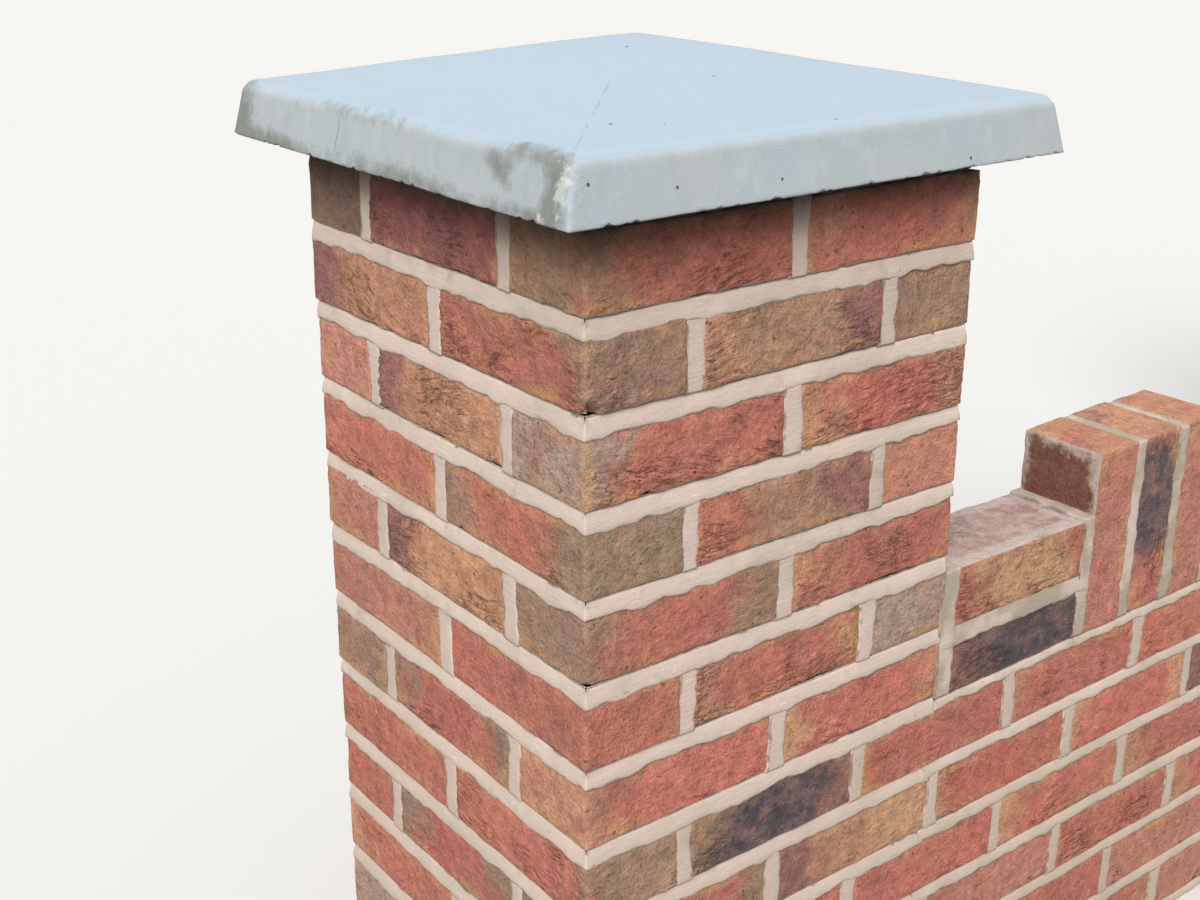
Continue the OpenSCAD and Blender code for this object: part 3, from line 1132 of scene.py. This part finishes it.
def pier_bricks(course, mirrored, word, rng, stray):
    """Bricks of one course of a pier. Even courses are the odd plan turned by a quarter circle."""
    odd = course % 2 == 1
    z = course * COURSE_H - BRICK_H / 2
    west = (PIER_X if not mirrored else -PIER_X) - PIER_W / 2
    sorts = dict(zip(ODD_WORD if odd else EVEN_WORD, word))
    bricks = []
    for slot, ((x, y), quarter, length, sides) in enumerate(pier_plan()):
        if not odd:
            x, y = y, PIER_W - x
            quarter -= 1
        if toothed(course) and slot == 2:
            # A part brick fills the corner behind the panel's tooth
            length = BRICK_L - TOOTH
            y = (TOOTH + BRICK_L) / 2
            sides = ("-y",)
        if course < PANEL_COURSES and odd and slot == 1:
            sides = ("-y",)
        cells = {}
        for side in sides:
            near = (LOOKS[side] + quarter) % 4 in NEAR_LOOKS and not mirrored
            cells[side] = NEAR_CELL if near else FAR_CELL
        if mirrored:
            x = PIER_W - x
            quarter = -quarter
            swap = {"-x": "+x", "+x": "-x"}
            cells = {swap.get(side, side): cell for side, cell in cells.items()}
        chip = CORNER_CHIP if course == CHIPPED_COURSE and slot == 1 and not mirrored else None
        letter = sorts.get(slot) or rng.choice(LOAD)
        turn = (0, 0, quarter * math.pi / 2)
        size = (length, BRICK_W, BRICK_H)
        bricks.append(brick((west + x, FRONT + y, z), turn, size, cells, letter, rng, stray, chip))
    return bricks


def panel_row(course):
    """Left end of the first brick of a panel course, the distance from brick to brick, and how many
    bricks there are."""
    count = round(2 * PANEL_END / (BRICK_L + PERP))
    if toothed(course):
        run = extent(f"panel_course_{course}", 0) - 2 * (TOOTH - BRICK_W)
        return -run / 2, (run - BRICK_L) / count, count + 1
    return -PANEL_END + PERP, BRICK_L + PERP, count


def panel_cell(x):
    """Cell size on the front of the panel, which grows away from the near pier."""
    return next((cell for end, cell in PANEL_CELLS if x < end), FAR_CELL)


def panel_bricks(course, word, rng, stray):
    start, pitch, count = panel_row(course)
    size = (BRICK_L, BRICK_W, BRICK_H)
    bricks = []
    for i in range(count):
        x = start + pitch * i + BRICK_L / 2
        letter = word[i] if i < len(word) else rng.choice(LOAD)
        centre = (x, PANEL_Y, course * COURSE_H - BRICK_H / 2)
        cells = {"-y": panel_cell(x), "+y": FAR_CELL}
        bricks.append(brick(centre, (0, 0, 0), size, cells, letter, rng, stray))
    return bricks


def low_x(k):
    """Left end of low coping k, counted from 0 at the left pier."""
    return -PANEL_END + END_JOINT + k * COPING_PITCH


def group_x(k):
    return low_x(k) + LOW_L + PERP


# The near brick of the upper low coping hangs lower than the rest, most of all at its right end
NEAR_LOW_HANGS = 9 * MM
NEAR_LOW_ASKEW = math.radians(0.7)


def low_bricks(word, z, upper, rng, stray):
    """A course of the low coping."""
    bricks = []
    for k in range(LOWS):
        near = upper and k == 0
        height = LOW_H + NEAR_LOW_HANGS if near else LOW_H
        askew = NEAR_LOW_ASKEW if near else 0.0
        size = (LOW_L, BRICK_W, height)
        x = low_x(k) + LOW_L / 2
        cells = {"-y": panel_cell(x), "+y": FAR_CELL}
        if upper:
            cells["+z"] = panel_cell(x)
        centre = (x, PANEL_Y, z + LOW_H - height / 2)
        turn = (0, askew, 0)
        bricks.append(brick(centre, turn, size, cells, word[k], rng, stray, None, LOW_FILM, LOW_BED_TONE))
    return bricks


def soldier_bricks(k, word, rng, stray):
    """A group of soldiers: bricks stood on end, whose left bed face is their upper side as laid."""
    size = (BRICK_L, BRICK_W, BRICK_H)
    bricks = []
    for i in range(SOLDIERS):
        x = group_x(k) + i * (BRICK_H + PERP) + BRICK_H / 2
        cell = panel_cell(x)
        cells = {"-y": cell, "+y": FAR_CELL, "+x": cell}
        if i == 0:
            cells["+z"] = cell
        if i == SOLDIERS - 1:
            cells["-z"] = cell
        chip = SOLDIER_CHIP if (k, i) == (0, 1) else None
        centre = (x, PANEL_Y, COPING_Z + BRICK_L / 2)
        turn = (0, -math.pi / 2, 0)
        # A soldier's side faces take dark clay with painted shade
        tone = SOLDIER_BED_TONE_AND_SHADE
        bricks.append(brick(centre, turn, size, cells, word[i], rng, stray, chip, SOLDIER_FILM, tone))
    return bricks


# Mortar in the brickwork: how far it reaches past the bricks' edges where it is hidden, its depth
# behind a pier's face, how far upright joints lie back, and how far they stop below a soldier's top
LAP = 2 * MM
PERP_LAP = 2.8 * MM
PERP_DEPTH = 30 * MM
PERP_FLUSH = -0.35 * MM
PERP_STRIKE = 0.1 * MM
SOLDIER_SHORT = 3 * MM

# How far the panel's beds run into the piers, and how much of their length has fine cells
BED_REACH = 12 * MM
FINE_SHARE = 0.35

# How much of the ragged edge's wandering is left at the struck edge
PERP_LOOSE = 0.8
BED_LOOSE = 0.1

# How much further the piers' beds reach over the bricks below than the panel's do
PIER_SMEAR = 3.5 * MM

# How grey the mortar has gone: the piers', the panel's, and that of the coping
PIER_GREY = 0.12
PANEL_GREY = 0.3
COPING_GREY = 0.85

# Cell sizes of the mortar meshes
NEAR_JOINT = 5.0 * MM
FAR_JOINT = 10.0 * MM


def joint(centre, turn, size, cells, low_depth, high_depth, edge, loose, grey):
    """A length of mortar. Edge is the height of the brick's edge on the struck side."""
    values = {
        "grey": grey,
        "low_depth": low_depth,
        "high_depth": high_depth,
        "brick_edge": edge / size[2] - 0.5,
        "loose": loose,
    }
    return Block(centre, turn, size, tuple(sorted(cells.items())), values)


def upright(x, y, z_low, z_high, width, depth, quarter, cells, grey):
    """An upright joint between two bricks, centred on x and y. Its length stands up."""
    size = (z_high - z_low, depth, width + 2 * PERP_LAP)
    turn = (0, -math.pi / 2, quarter * math.pi / 2)
    centre = (x, y, (z_low + z_high) / 2)
    edge = width + PERP_LAP
    return joint(centre, turn, size, cells, PERP_FLUSH, PERP_STRIKE, edge, PERP_LOOSE, grey)


def panel_upright(x, z_low, z_high, width, cells, grey):
    """An upright joint that goes through the panel or its coping."""
    return upright(x, PANEL_Y, z_low, z_high, width, BRICK_W, 0, cells, grey)


def bed(low, high, cells, low_depth, high_depth, grey):
    """A level joint that fills the box between two corners."""
    centre = tuple((a + b) / 2 for a, b in zip(low, high))
    size = tuple(b - a for a, b in zip(low, high))
    return joint(centre, (0, 0, 0), size, cells, low_depth, high_depth, size[2] - LAP, BED_LOOSE, grey)


def cap_bed_width():
    """Width of the bed under a cap, from the highest vertices of the pier's beds."""
    vertices = frame["nodes"]["left_pier_beds"].data.vertices
    top = [vertex.co.x for vertex in vertices if vertex.co.z > CAP_Z - MM]
    return max(top) - min(top)


def pier_joints(mirrored, settings):
    """All the mortar of a pier."""
    middle_x = PIER_X if not mirrored else -PIER_X
    west, east = middle_x - PIER_W / 2, middle_x + PIER_W / 2
    near = FAR_JOINT if mirrored else NEAR_JOINT
    around = {side: near for side in ("-x", "+x", "-y", "+y")}
    end_joint = TOOTH - BRICK_W
    offset = PIER_W / 2 - BRICK_W - end_joint / 2
    joints = []
    for course in range(1, PIER_COURSES + 1):
        z = (course - 1) * COURSE_H
        foot = (west, FRONT, z - settings.smear - PIER_SMEAR if course > 1 else 0.0)
        top = (east, -FRONT, z + BED_H + LAP)
        joints.append(bed(foot, top, around, settings.flush, settings.strike, PIER_GREY))
        for quarter in range(4):
            two_bricks = (quarter + course) % 2 == 1
            inner = offset - BETWEEN_SHORT / 2
            offsets = [0.0] if two_bricks else [-inner, inner]
            width = PERP + 2 * CORNER_SHORT if two_bricks else end_joint + BETWEEN_SHORT
            if toothed(course) and quarter == (3 if mirrored else 1):
                # Beside the tooth, the corner's part brick has a joint of its own
                offsets = [0.0, offset if mirrored else -offset]
            cell = near if quarter in NEAR_LOOKS else FAR_JOINT
            for along in offsets:
                turn = Matrix.Rotation(quarter * math.pi / 2, 3, "Z")
                spot = turn @ Vector((along, FRONT + PERP_DEPTH / 2, 0))
                plan = (middle_x + spot.x, spot.y)
                rise = (z + BED_H - LAP, z + COURSE_H + LAP)
                joints.append(upright(*plan, *rise, width, PERP_DEPTH, quarter, {"-y": cell}, PIER_GREY))
    rake = (PIER_W - cap_bed_width()) / 2
    foot = (west + rake, FRONT + rake, PIER_TOP - LAP)
    joints.append(bed(foot, (east - rake, -FRONT - rake, CAP_Z), around, 0.0, 0.0, PIER_GREY))
    return joints


def panel_joints(settings):
    """The mortar of the panel. Its beds run a little way into the piers."""
    joints = []
    reach = PANEL_END + BED_REACH
    graded = Graded(NEAR_JOINT, FAR_JOINT, FINE_SHARE)
    for course in range(1, PANEL_COURSES + 1):
        z = (course - 1) * COURSE_H
        foot = (-reach, FRONT, z - settings.smear if course > 1 else 0.0)
        top = (reach, BACK, z + BED_H + LAP)
        cells = {"-y": graded, "+y": graded}
        joints.append(bed(foot, top, cells, settings.flush, settings.strike, PANEL_GREY))
        start, pitch, count = panel_row(course)
        width = pitch - BRICK_L
        for i in range(0 if toothed(course) else -1, count - 1 if toothed(course) else count):
            x = start + pitch * i + BRICK_L + width / 2
            cells = {"-y": NEAR_JOINT if x < NEAR_END else FAR_JOINT, "+y": FAR_JOINT}
            rise = (z + BED_H - LAP, z + COURSE_H + LAP)
            joints.append(panel_upright(x, *rise, width, cells, PANEL_GREY))
    return joints


def low_joints(settings):
    """Mortar round the low coping: its beds and the upright joints at its ends."""
    joints = []
    for k in range(LOWS):
        cell = NEAR_JOINT if k < 2 else FAR_JOINT
        cells = {"-y": cell, "+y": FAR_JOINT}
        left = END_JOINT if k == 0 else PERP
        right = END_JOINT if k == LOWS - 1 else PERP
        x_low = low_x(k) - left
        x_high = low_x(k) + LOW_L + right
        for z, height, strike, grey in (
            (PANEL_TOP, COPING_Z - PANEL_TOP, settings.strike, PANEL_GREY),
            (COPING_Z + LOW_H, LOW_BED, settings.strike / 2, COPING_GREY),
        ):
            foot = (x_low, FRONT, z - settings.smear)
            top = (x_high, BACK, z + height + LAP)
            joints.append(bed(foot, top, cells, settings.flush, strike, grey))
        for x, width in ((x_low + left / 2, left), (x_high - right / 2, right)):
            sides = {**cells, "+x": cell}
            joints.append(panel_upright(x, COPING_Z, LOW_TOP, width, sides, COPING_GREY))
    return joints


def soldier_joints(settings):
    """Mortar under and between the soldiers."""
    joints = []
    for k in range(GROUPS):
        cell = NEAR_JOINT if k < 1 else FAR_JOINT
        cells = {"-y": cell, "+y": FAR_JOINT}
        x = group_x(k)
        foot = (x - PERP, FRONT, PANEL_TOP - settings.smear)
        top = (x + GROUP_L + PERP, BACK, COPING_Z + LAP)
        joints.append(bed(foot, top, cells, settings.flush, settings.strike, PANEL_GREY))
        for i in range(1, SOLDIERS):
            middle = x + i * (BRICK_H + PERP) - PERP / 2
            rise = (COPING_Z, COPING_Z + BRICK_L - SOLDIER_SHORT)
            joints.append(panel_upright(middle, *rise, PERP, {**cells, "+x": cell}, COPING_GREY))
    return joints


class Patch(NamedTuple):
    """A soft-edged patch on the edge of a cap, in millimetres: its middle along the face from its
    front corner and up from the foot, its half sizes, and its strength."""

    along: float
    up: float
    half_along: float
    half_up: float
    strength: float


# Damp patches and laitance on one face of each cap's edge, the near cap's left and the far cap's
# right, and the place of a crack from the middle of that face
DAMP_PATCHES = (
    Patch(534, 24, 34, 40, 1.0),
    Patch(455, 3, 75, 10, 1.0),
    Patch(300, 45, 120, 8, 0.52),
    Patch(235, 4, 110, 11, 0.85),
    Patch(58, 46, 34, 9, 1.0),
    Patch(96, 33, 18, 10, 0.95),
    Patch(80, 22, 14, 9, 0.5),
    Patch(24, 24, 18, 30, 1.05),
    Patch(54, 26, 15, 11, -1.3),
    Patch(46, 5, 30, 6, 0.5),
    Patch(80, 3, 50, 8, 0.4),
)
CHALK_PATCHES = (
    Patch(14, 27, 13, 28, 0.6),
    Patch(36, 4, 8, 8, 0.5),
    Patch(140, 2, 9, 6, 0.45),
    Patch(480, 16, 14, 8, 0.35),
)
CRACK_PLACE = 72 * MM

# How far the patches reach over the top from the face before they fade, and over what length
PATCH_REACH = 12 * MM
PATCH_FADE = 9 * MM


def patch_strength(patch_list, places, half):
    """Strength of the patches at places, which are measured from the middle of the cap's foot."""
    total = np.zeros(len(places))
    x, y, z = places.T
    for patch in patch_list:
        reach = ((y + half - patch.along * MM) / (patch.half_along * MM)) ** 2
        reach += ((z - patch.up * MM) / (patch.half_up * MM)) ** 2
        reach += (np.maximum(x + half - PATCH_REACH, 0) / PATCH_FADE) ** 2
        total += patch.strength * np.exp(-reach)
    return total


# Distances from a cap's edge at which it has a line of vertices, and others round the drip groove,
# as shares of the groove's radius
CAP_RIM = (1.5 * MM, 3.5 * MM, 6 * MM, 9 * MM, 12 * MM)
DRIP_SHARES = (-1.0, -0.8, -0.4, 0, 0.4, 0.8, 1.0, 1.3)

# Shares of a cap's half width: how widely a ridge is rounded, how blunt the peak is, and how far the
# slopes move out to make up for that
RIDGE_SOFT = 0.025
PEAK_BLUNT = 0.05
SLOPE_OUT = 0.01

# Cell sizes of the near cap's mesh and the far cap's
NEAR_CAP_CELL = 4.2 * MM
FAR_CAP_CELL = 8.0 * MM


def cast_cap(name, node, cell, settings, quarters):
    """A cap with four weathered slopes, a rounded arris, a ragged foot and a drip groove."""
    low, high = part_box(node)
    width = high.x - low.x
    half = width / 2
    rise = high.z - low.z - settings.edge_h
    drip = settings.drip_inset
    rim = [*CAP_RIM, *(drip + settings.drip_r * share for share in DRIP_SHARES)]
    cells = {side: cell for side in SIDES if side != "-z"}
    places, faces = lattice((width, width, settings.edge_h), cells, rim)
    share = places[:, 2] / settings.edge_h + 0.5
    radius = settings.foot_arris + (settings.arris - settings.foot_arris) * share
    limit = np.array([half, half, settings.edge_h / 2]) - radius[:, None]
    inner = np.clip(places, -limit, limit)
    away = places - inner
    outward = away / np.linalg.norm(away, axis=1)[:, None]
    shaped = inner + outward * radius[:, None]
    shaped[:, :2] *= (1 - settings.draft / half * share)[:, None]
    shaped[:, 2] += settings.edge_h / 2

    # The slopes meet in narrow ridges at a blunt peak
    top_half = half - settings.draft
    x, y = np.abs(shaped[:, 0]) / top_half, np.abs(shaped[:, 1]) / top_half
    blend = np.maximum(RIDGE_SOFT - np.abs(x - y), 0) / RIDGE_SOFT
    nearest = np.maximum(x, y) + blend**2 * RIDGE_SOFT / 4
    nearest = np.sqrt(nearest**2 + PEAK_BLUNT**2) - SLOPE_OUT
    on_top = np.clip((outward[:, 2] - 0.2) / 0.8, 0, 1) * (share > 0.5)
    shaped[:, 2] += rise * np.maximum(1 - nearest, 0) * on_top

    # The throat is a groove along each edge of the underside
    to_edge = half - np.maximum(np.abs(places[:, 0]), np.abs(places[:, 1]))
    from_groove = np.abs(to_edge - drip) / settings.drip_r
    groove = np.sqrt(np.clip(1 - from_groove**2, 0, 1)) * settings.drip_r
    shaped[:, 2] += np.where(share < 0.001, groove, 0)

    # Cast surface: a slight swell, and a ragged gritty foot
    seed = Vector((quarters * 7.0 + 3.0, 1.0, 2.0))
    swell = np.array([noise.noise(Vector(p) * per(90) + seed) for p in shaped.tolist()])
    shaped += outward * (swell * 0.7 * MM)[:, None]
    near_foot = np.clip(1 - shaped[:, 2] / (5 * MM), 0, 1) * (to_edge < 9 * MM)
    crumbs = np.array([noise.noise(Vector(p) * per(8) + seed) for p in shaped.tolist()])
    shaped[:, 2] += near_foot * np.maximum(crumbs - 0.1, 0) * 7 * MM
    turned = shaped @ np.array(Matrix.Rotation(quarters * math.pi / 2, 3, "Z"))
    mesh = bpy.data.meshes.new(name)
    origin = np.array([(low.x + high.x) / 2, (low.y + high.y) / 2, low.z])
    mesh.from_pydata((shaped + origin).tolist(), [], faces)
    mesh.polygons.foreach_set("use_smooth", [True] * len(mesh.polygons))
    write_attribute(mesh, "cap_co", turned)
    write_attribute(mesh, "top", np.clip((outward[:, 2] - 0.3) / 0.5, 0, 1))
    for label, patch_list in (("damp", DAMP_PATCHES), ("chalk", CHALK_PATCHES)):
        write_attribute(mesh, label, patch_strength(patch_list, turned, half))
    mesh.materials.append(material_of("cast_concrete", cast_concrete))
    piece = bpy.data.objects.new(name, mesh)
    bpy.context.scene.collection.objects.link(piece)
    return piece


def make_pieces(pieces, slot, rim, tree, finish, settings):
    """Makes a piece for each name, blocks and node in pieces.

    The tree takes the finish, which is a socket's name and a material, and every setting whose name
    one of its sockets has.
    """
    blanks = Blanks(rim)
    inputs = {item.name: getattr(settings, item.identifier) for item in settings.bl_rna.properties}
    inputs |= {"Blanks": blanks.collection, **finish}
    for name, blocks, node in pieces:
        stand_for(lay(name, blocks, blanks, tree, inputs), slot, node)
    blanks.remove()
    bpy.data.node_groups.remove(tree)


def lay_bricks(pieces, settings):
    finish = {"Clay": material_of("soft_mud_facing_brick", facing_brick)}
    make_pieces(pieces, "brick", BRICK_RIM, brick_tree(), finish, settings)


class GARDENWALL_OT_piers(Operator):
    """Lay the bricks of both piers, course by course"""

    bl_idname = "garden_wall.piers"
    bl_label = "Lay Piers"

    def execute(self, context):
        settings = context.scene.wall_bricks
        rng = random.Random(settings.seed)
        pieces = []
        for side in ("left", "right"):
            for course in range(1, PIER_COURSES + 1):
                mirrored = side == "right"
                word = "" if mirrored else PIER_WORDS[course - 1]
                blocks = pier_bricks(course, mirrored, word, rng, settings.stray)
                pieces.append((f"{side}_pier_bricks_{course}", blocks, f"{side}_pier_course_{course}"))
        lay_bricks(pieces, settings)
        return {"FINISHED"}


class GARDENWALL_OT_panel(Operator):
    """Lay the bricks of the panel, course by course"""

    bl_idname = "garden_wall.panel"
    bl_label = "Lay Panel"

    def execute(self, context):
        settings = context.scene.wall_bricks
        rng = random.Random(settings.seed + 1)
        pieces = []
        for course in range(1, PANEL_COURSES + 1):
            blocks = panel_bricks(course, PANEL_WORDS[course - 1], rng, settings.stray)
            pieces.append((f"panel_bricks_{course}", blocks, f"panel_course_{course}"))
        lay_bricks(pieces, settings)
        return {"FINISHED"}


class GARDENWALL_OT_coping(Operator):
    """Lay the low coping and stand the soldiers"""

    bl_idname = "garden_wall.coping"
    bl_label = "Lay Coping"

    def execute(self, context):
        settings = context.scene.wall_bricks
        rng = random.Random(settings.seed + 2)
        lower = low_bricks(LOW_LOWER_WORD, COPING_Z, False, rng, settings.stray)
        upper = low_bricks(LOW_UPPER_WORD, LOW_TOP - LOW_H, True, rng, settings.stray)
        pieces = [
            ("low_bricks_lower", lower, "low_coping_lower"),
            ("low_bricks_upper", upper, "low_coping_upper"),
        ]
        for k in range(GROUPS):
            blocks = soldier_bricks(k, SOLDIER_WORDS[k], rng, settings.stray)
            pieces.append((f"soldier_bricks_{k + 1}", blocks, f"soldier_group_{k + 1}"))
        lay_bricks(pieces, settings)
        return {"FINISHED"}


class GARDENWALL_OT_joints(Operator):
    """Point all the joints"""

    bl_idname = "garden_wall.joints"
    bl_label = "Point Joints"

    def execute(self, context):
        settings = context.scene.wall_joints
        pieces = [
            ("left_pier_joints", pier_joints(False, settings), "left_pier_beds"),
            ("right_pier_joints", pier_joints(True, settings), "right_pier_beds"),
            ("panel_joints", panel_joints(settings), "panel_beds"),
            ("low_coping_joints", low_joints(settings), "low_coping_mortar"),
            ("soldier_joints", soldier_joints(settings), "soldier_mortar"),
        ]
        finish = {"Mortar": material_of("struck_mortar", struck_mortar)}
        make_pieces(pieces, "mortar", JOINT_RIM, joint_tree(), finish, settings)
        return {"FINISHED"}


class GARDENWALL_OT_caps(Operator):
    """Cast the two pier caps"""

    bl_idname = "garden_wall.caps"
    bl_label = "Cast Caps"

    def execute(self, context):
        settings = context.scene.wall_caps
        for side, cell, quarters in (("left", NEAR_CAP_CELL, 0), ("right", FAR_CAP_CELL, 2)):
            piece = cast_cap(f"{side}_cap_casting", f"{side}_cap", cell, settings, quarters)
            stand_for(piece, "concrete", f"{side}_cap")
        return {"FINISHED"}


def background_rays(add):
    """One for the rays that meet the pale background: the camera's, and those that gloss or glass
    sends on."""
    rays = add("LightPath").outputs
    seen = add("Math.MAXIMUM", rays["Is Camera Ray"], rays["Is Glossy Ray"])
    return add("Math.MAXIMUM", seen, rays["Is Transmission Ray"])


def studio_floor(add):
    """Matt painted floor, pale to look at, which throws no more light up than bare ground does."""
    pale = (*bpy.context.scene.wall_stage.floor_colour, 1.0)
    seen = background_rays(add)
    colour = add("Mix", {"Factor": seen, "A": rgba("#7B7872"), "B": pale}, data_type="RGBA")
    shader = add("BsdfPrincipled", {"Base Color": colour, "Roughness": 0.9})
    add("OutputMaterial", {"Surface": shader})


# Half the floor's width in metres
FLOOR_REACH = 30.0

# The lamp's direction, strength and spread, and how bright the dome is at the horizon and below it
LAMP_AIM = Vector((0.6, 0.56, -0.67))
LAMP_STRENGTH = 3.15
LAMP_SPREAD = math.radians(32)
DOME_LOW = 0.46


class GARDENWALL_OT_stage(Operator):
    """Set the floor, the light and the camera"""

    bl_idname = "garden_wall.stage"
    bl_label = "Set Stage"

    def execute(self, context):
        scene = context.scene
        settings = scene.wall_stage
        mesh = bpy.data.meshes.new("floor")
        square = ((-1, -1), (1, -1), (1, 1), (-1, 1))
        corners = [(x * FLOOR_REACH, y * FLOOR_REACH, 0) for x, y in square]
        mesh.from_pydata(corners, [], [(0, 1, 2, 3)])
        mesh.materials.append(material_of("studio_floor", studio_floor))
        floor = bpy.data.objects.new("floor", mesh)
        scene.collection.objects.link(floor)
        self.light(scene)

        camera = bpy.data.cameras.new("camera")
        camera.lens = settings.lens
        camera.sensor_width = 36
        viewer = bpy.data.objects.new("camera", camera)
        viewer.location = settings.camera_place
        viewer.rotation_euler = (math.radians(90 - settings.pitch), 0, math.radians(-settings.heading))
        scene.collection.objects.link(viewer)
        scene.camera = viewer
        scene.view_settings.view_transform = "Standard"
        return {"FINISHED"}

    def light(self, scene):
        """One broad lamp above the front left corner, under a pale dome that is brightest overhead."""
        sun = bpy.data.lights.new("key", "SUN")
        sun.energy = LAMP_STRENGTH
        sun.angle = LAMP_SPREAD
        key = bpy.data.objects.new("key", sun)
        key.rotation_euler = LAMP_AIM.to_track_quat("-Z", "Y").to_euler()
        scene.collection.objects.link(key)

        world = bpy.data.worlds.new("studio")
        world.use_nodes = True
        world.node_tree.nodes.clear()
        add = partial(add_node, world.node_tree)
        up = add("SeparateXYZ", add("TexCoord").outputs["Generated"]).outputs["Z"]
        level = add("MapRange", {"Value": up, "To Min": DOME_LOW, "To Max": 1.0})
        dome = add("Background", {"Color": rgba("#F3F5F8"), "Strength": level})
        backdrop = add("Background", {"Color": rgba("#F1F0EE"), "Strength": 1.0})
        both = add("MixShader", background_rays(add), dome, backdrop)
        add("OutputWorld", {"Surface": both})
        scene.world = world


class GARDENWALL_PT_panel(Panel):
    """The steps that dress the wall"""

    bl_label = "Garden Wall"
    bl_idname = "GARDENWALL_PT_panel"
    bl_space_type = "VIEW_3D"
    bl_region_type = "UI"
    bl_category = "Garden Wall"

    def draw(self, context):
        for operator in OPERATORS:
            self.layout.operator(operator.bl_idname)


OPERATORS = (
    GARDENWALL_OT_piers,
    GARDENWALL_OT_panel,
    GARDENWALL_OT_coping,
    GARDENWALL_OT_joints,
    GARDENWALL_OT_caps,
    GARDENWALL_OT_stage,
)
SETTINGS = {
    "wall_bricks": BrickSettings,
    "wall_joints": JointSettings,
    "wall_caps": CapSettings,
    "wall_stage": StageSettings,
}


def register():
    for cls in (*SETTINGS.values(), *OPERATORS, GARDENWALL_PT_panel):
        bpy.utils.register_class(cls)
    for name, cls in SETTINGS.items():
        setattr(bpy.types.Scene, name, bpy.props.PointerProperty(type=cls))


def unregister():
    for name in SETTINGS:
        delattr(bpy.types.Scene, name)
    for cls in reversed((*SETTINGS.values(), *OPERATORS, GARDENWALL_PT_panel)):
        bpy.utils.unregister_class(cls)


def main():
    register()
    bpy.ops.garden_wall.piers()
    bpy.ops.garden_wall.panel()
    bpy.ops.garden_wall.coping()
    bpy.ops.garden_wall.joints()
    bpy.ops.garden_wall.caps()
    bpy.ops.garden_wall.stage()


if __name__ == "__main__":
    main()
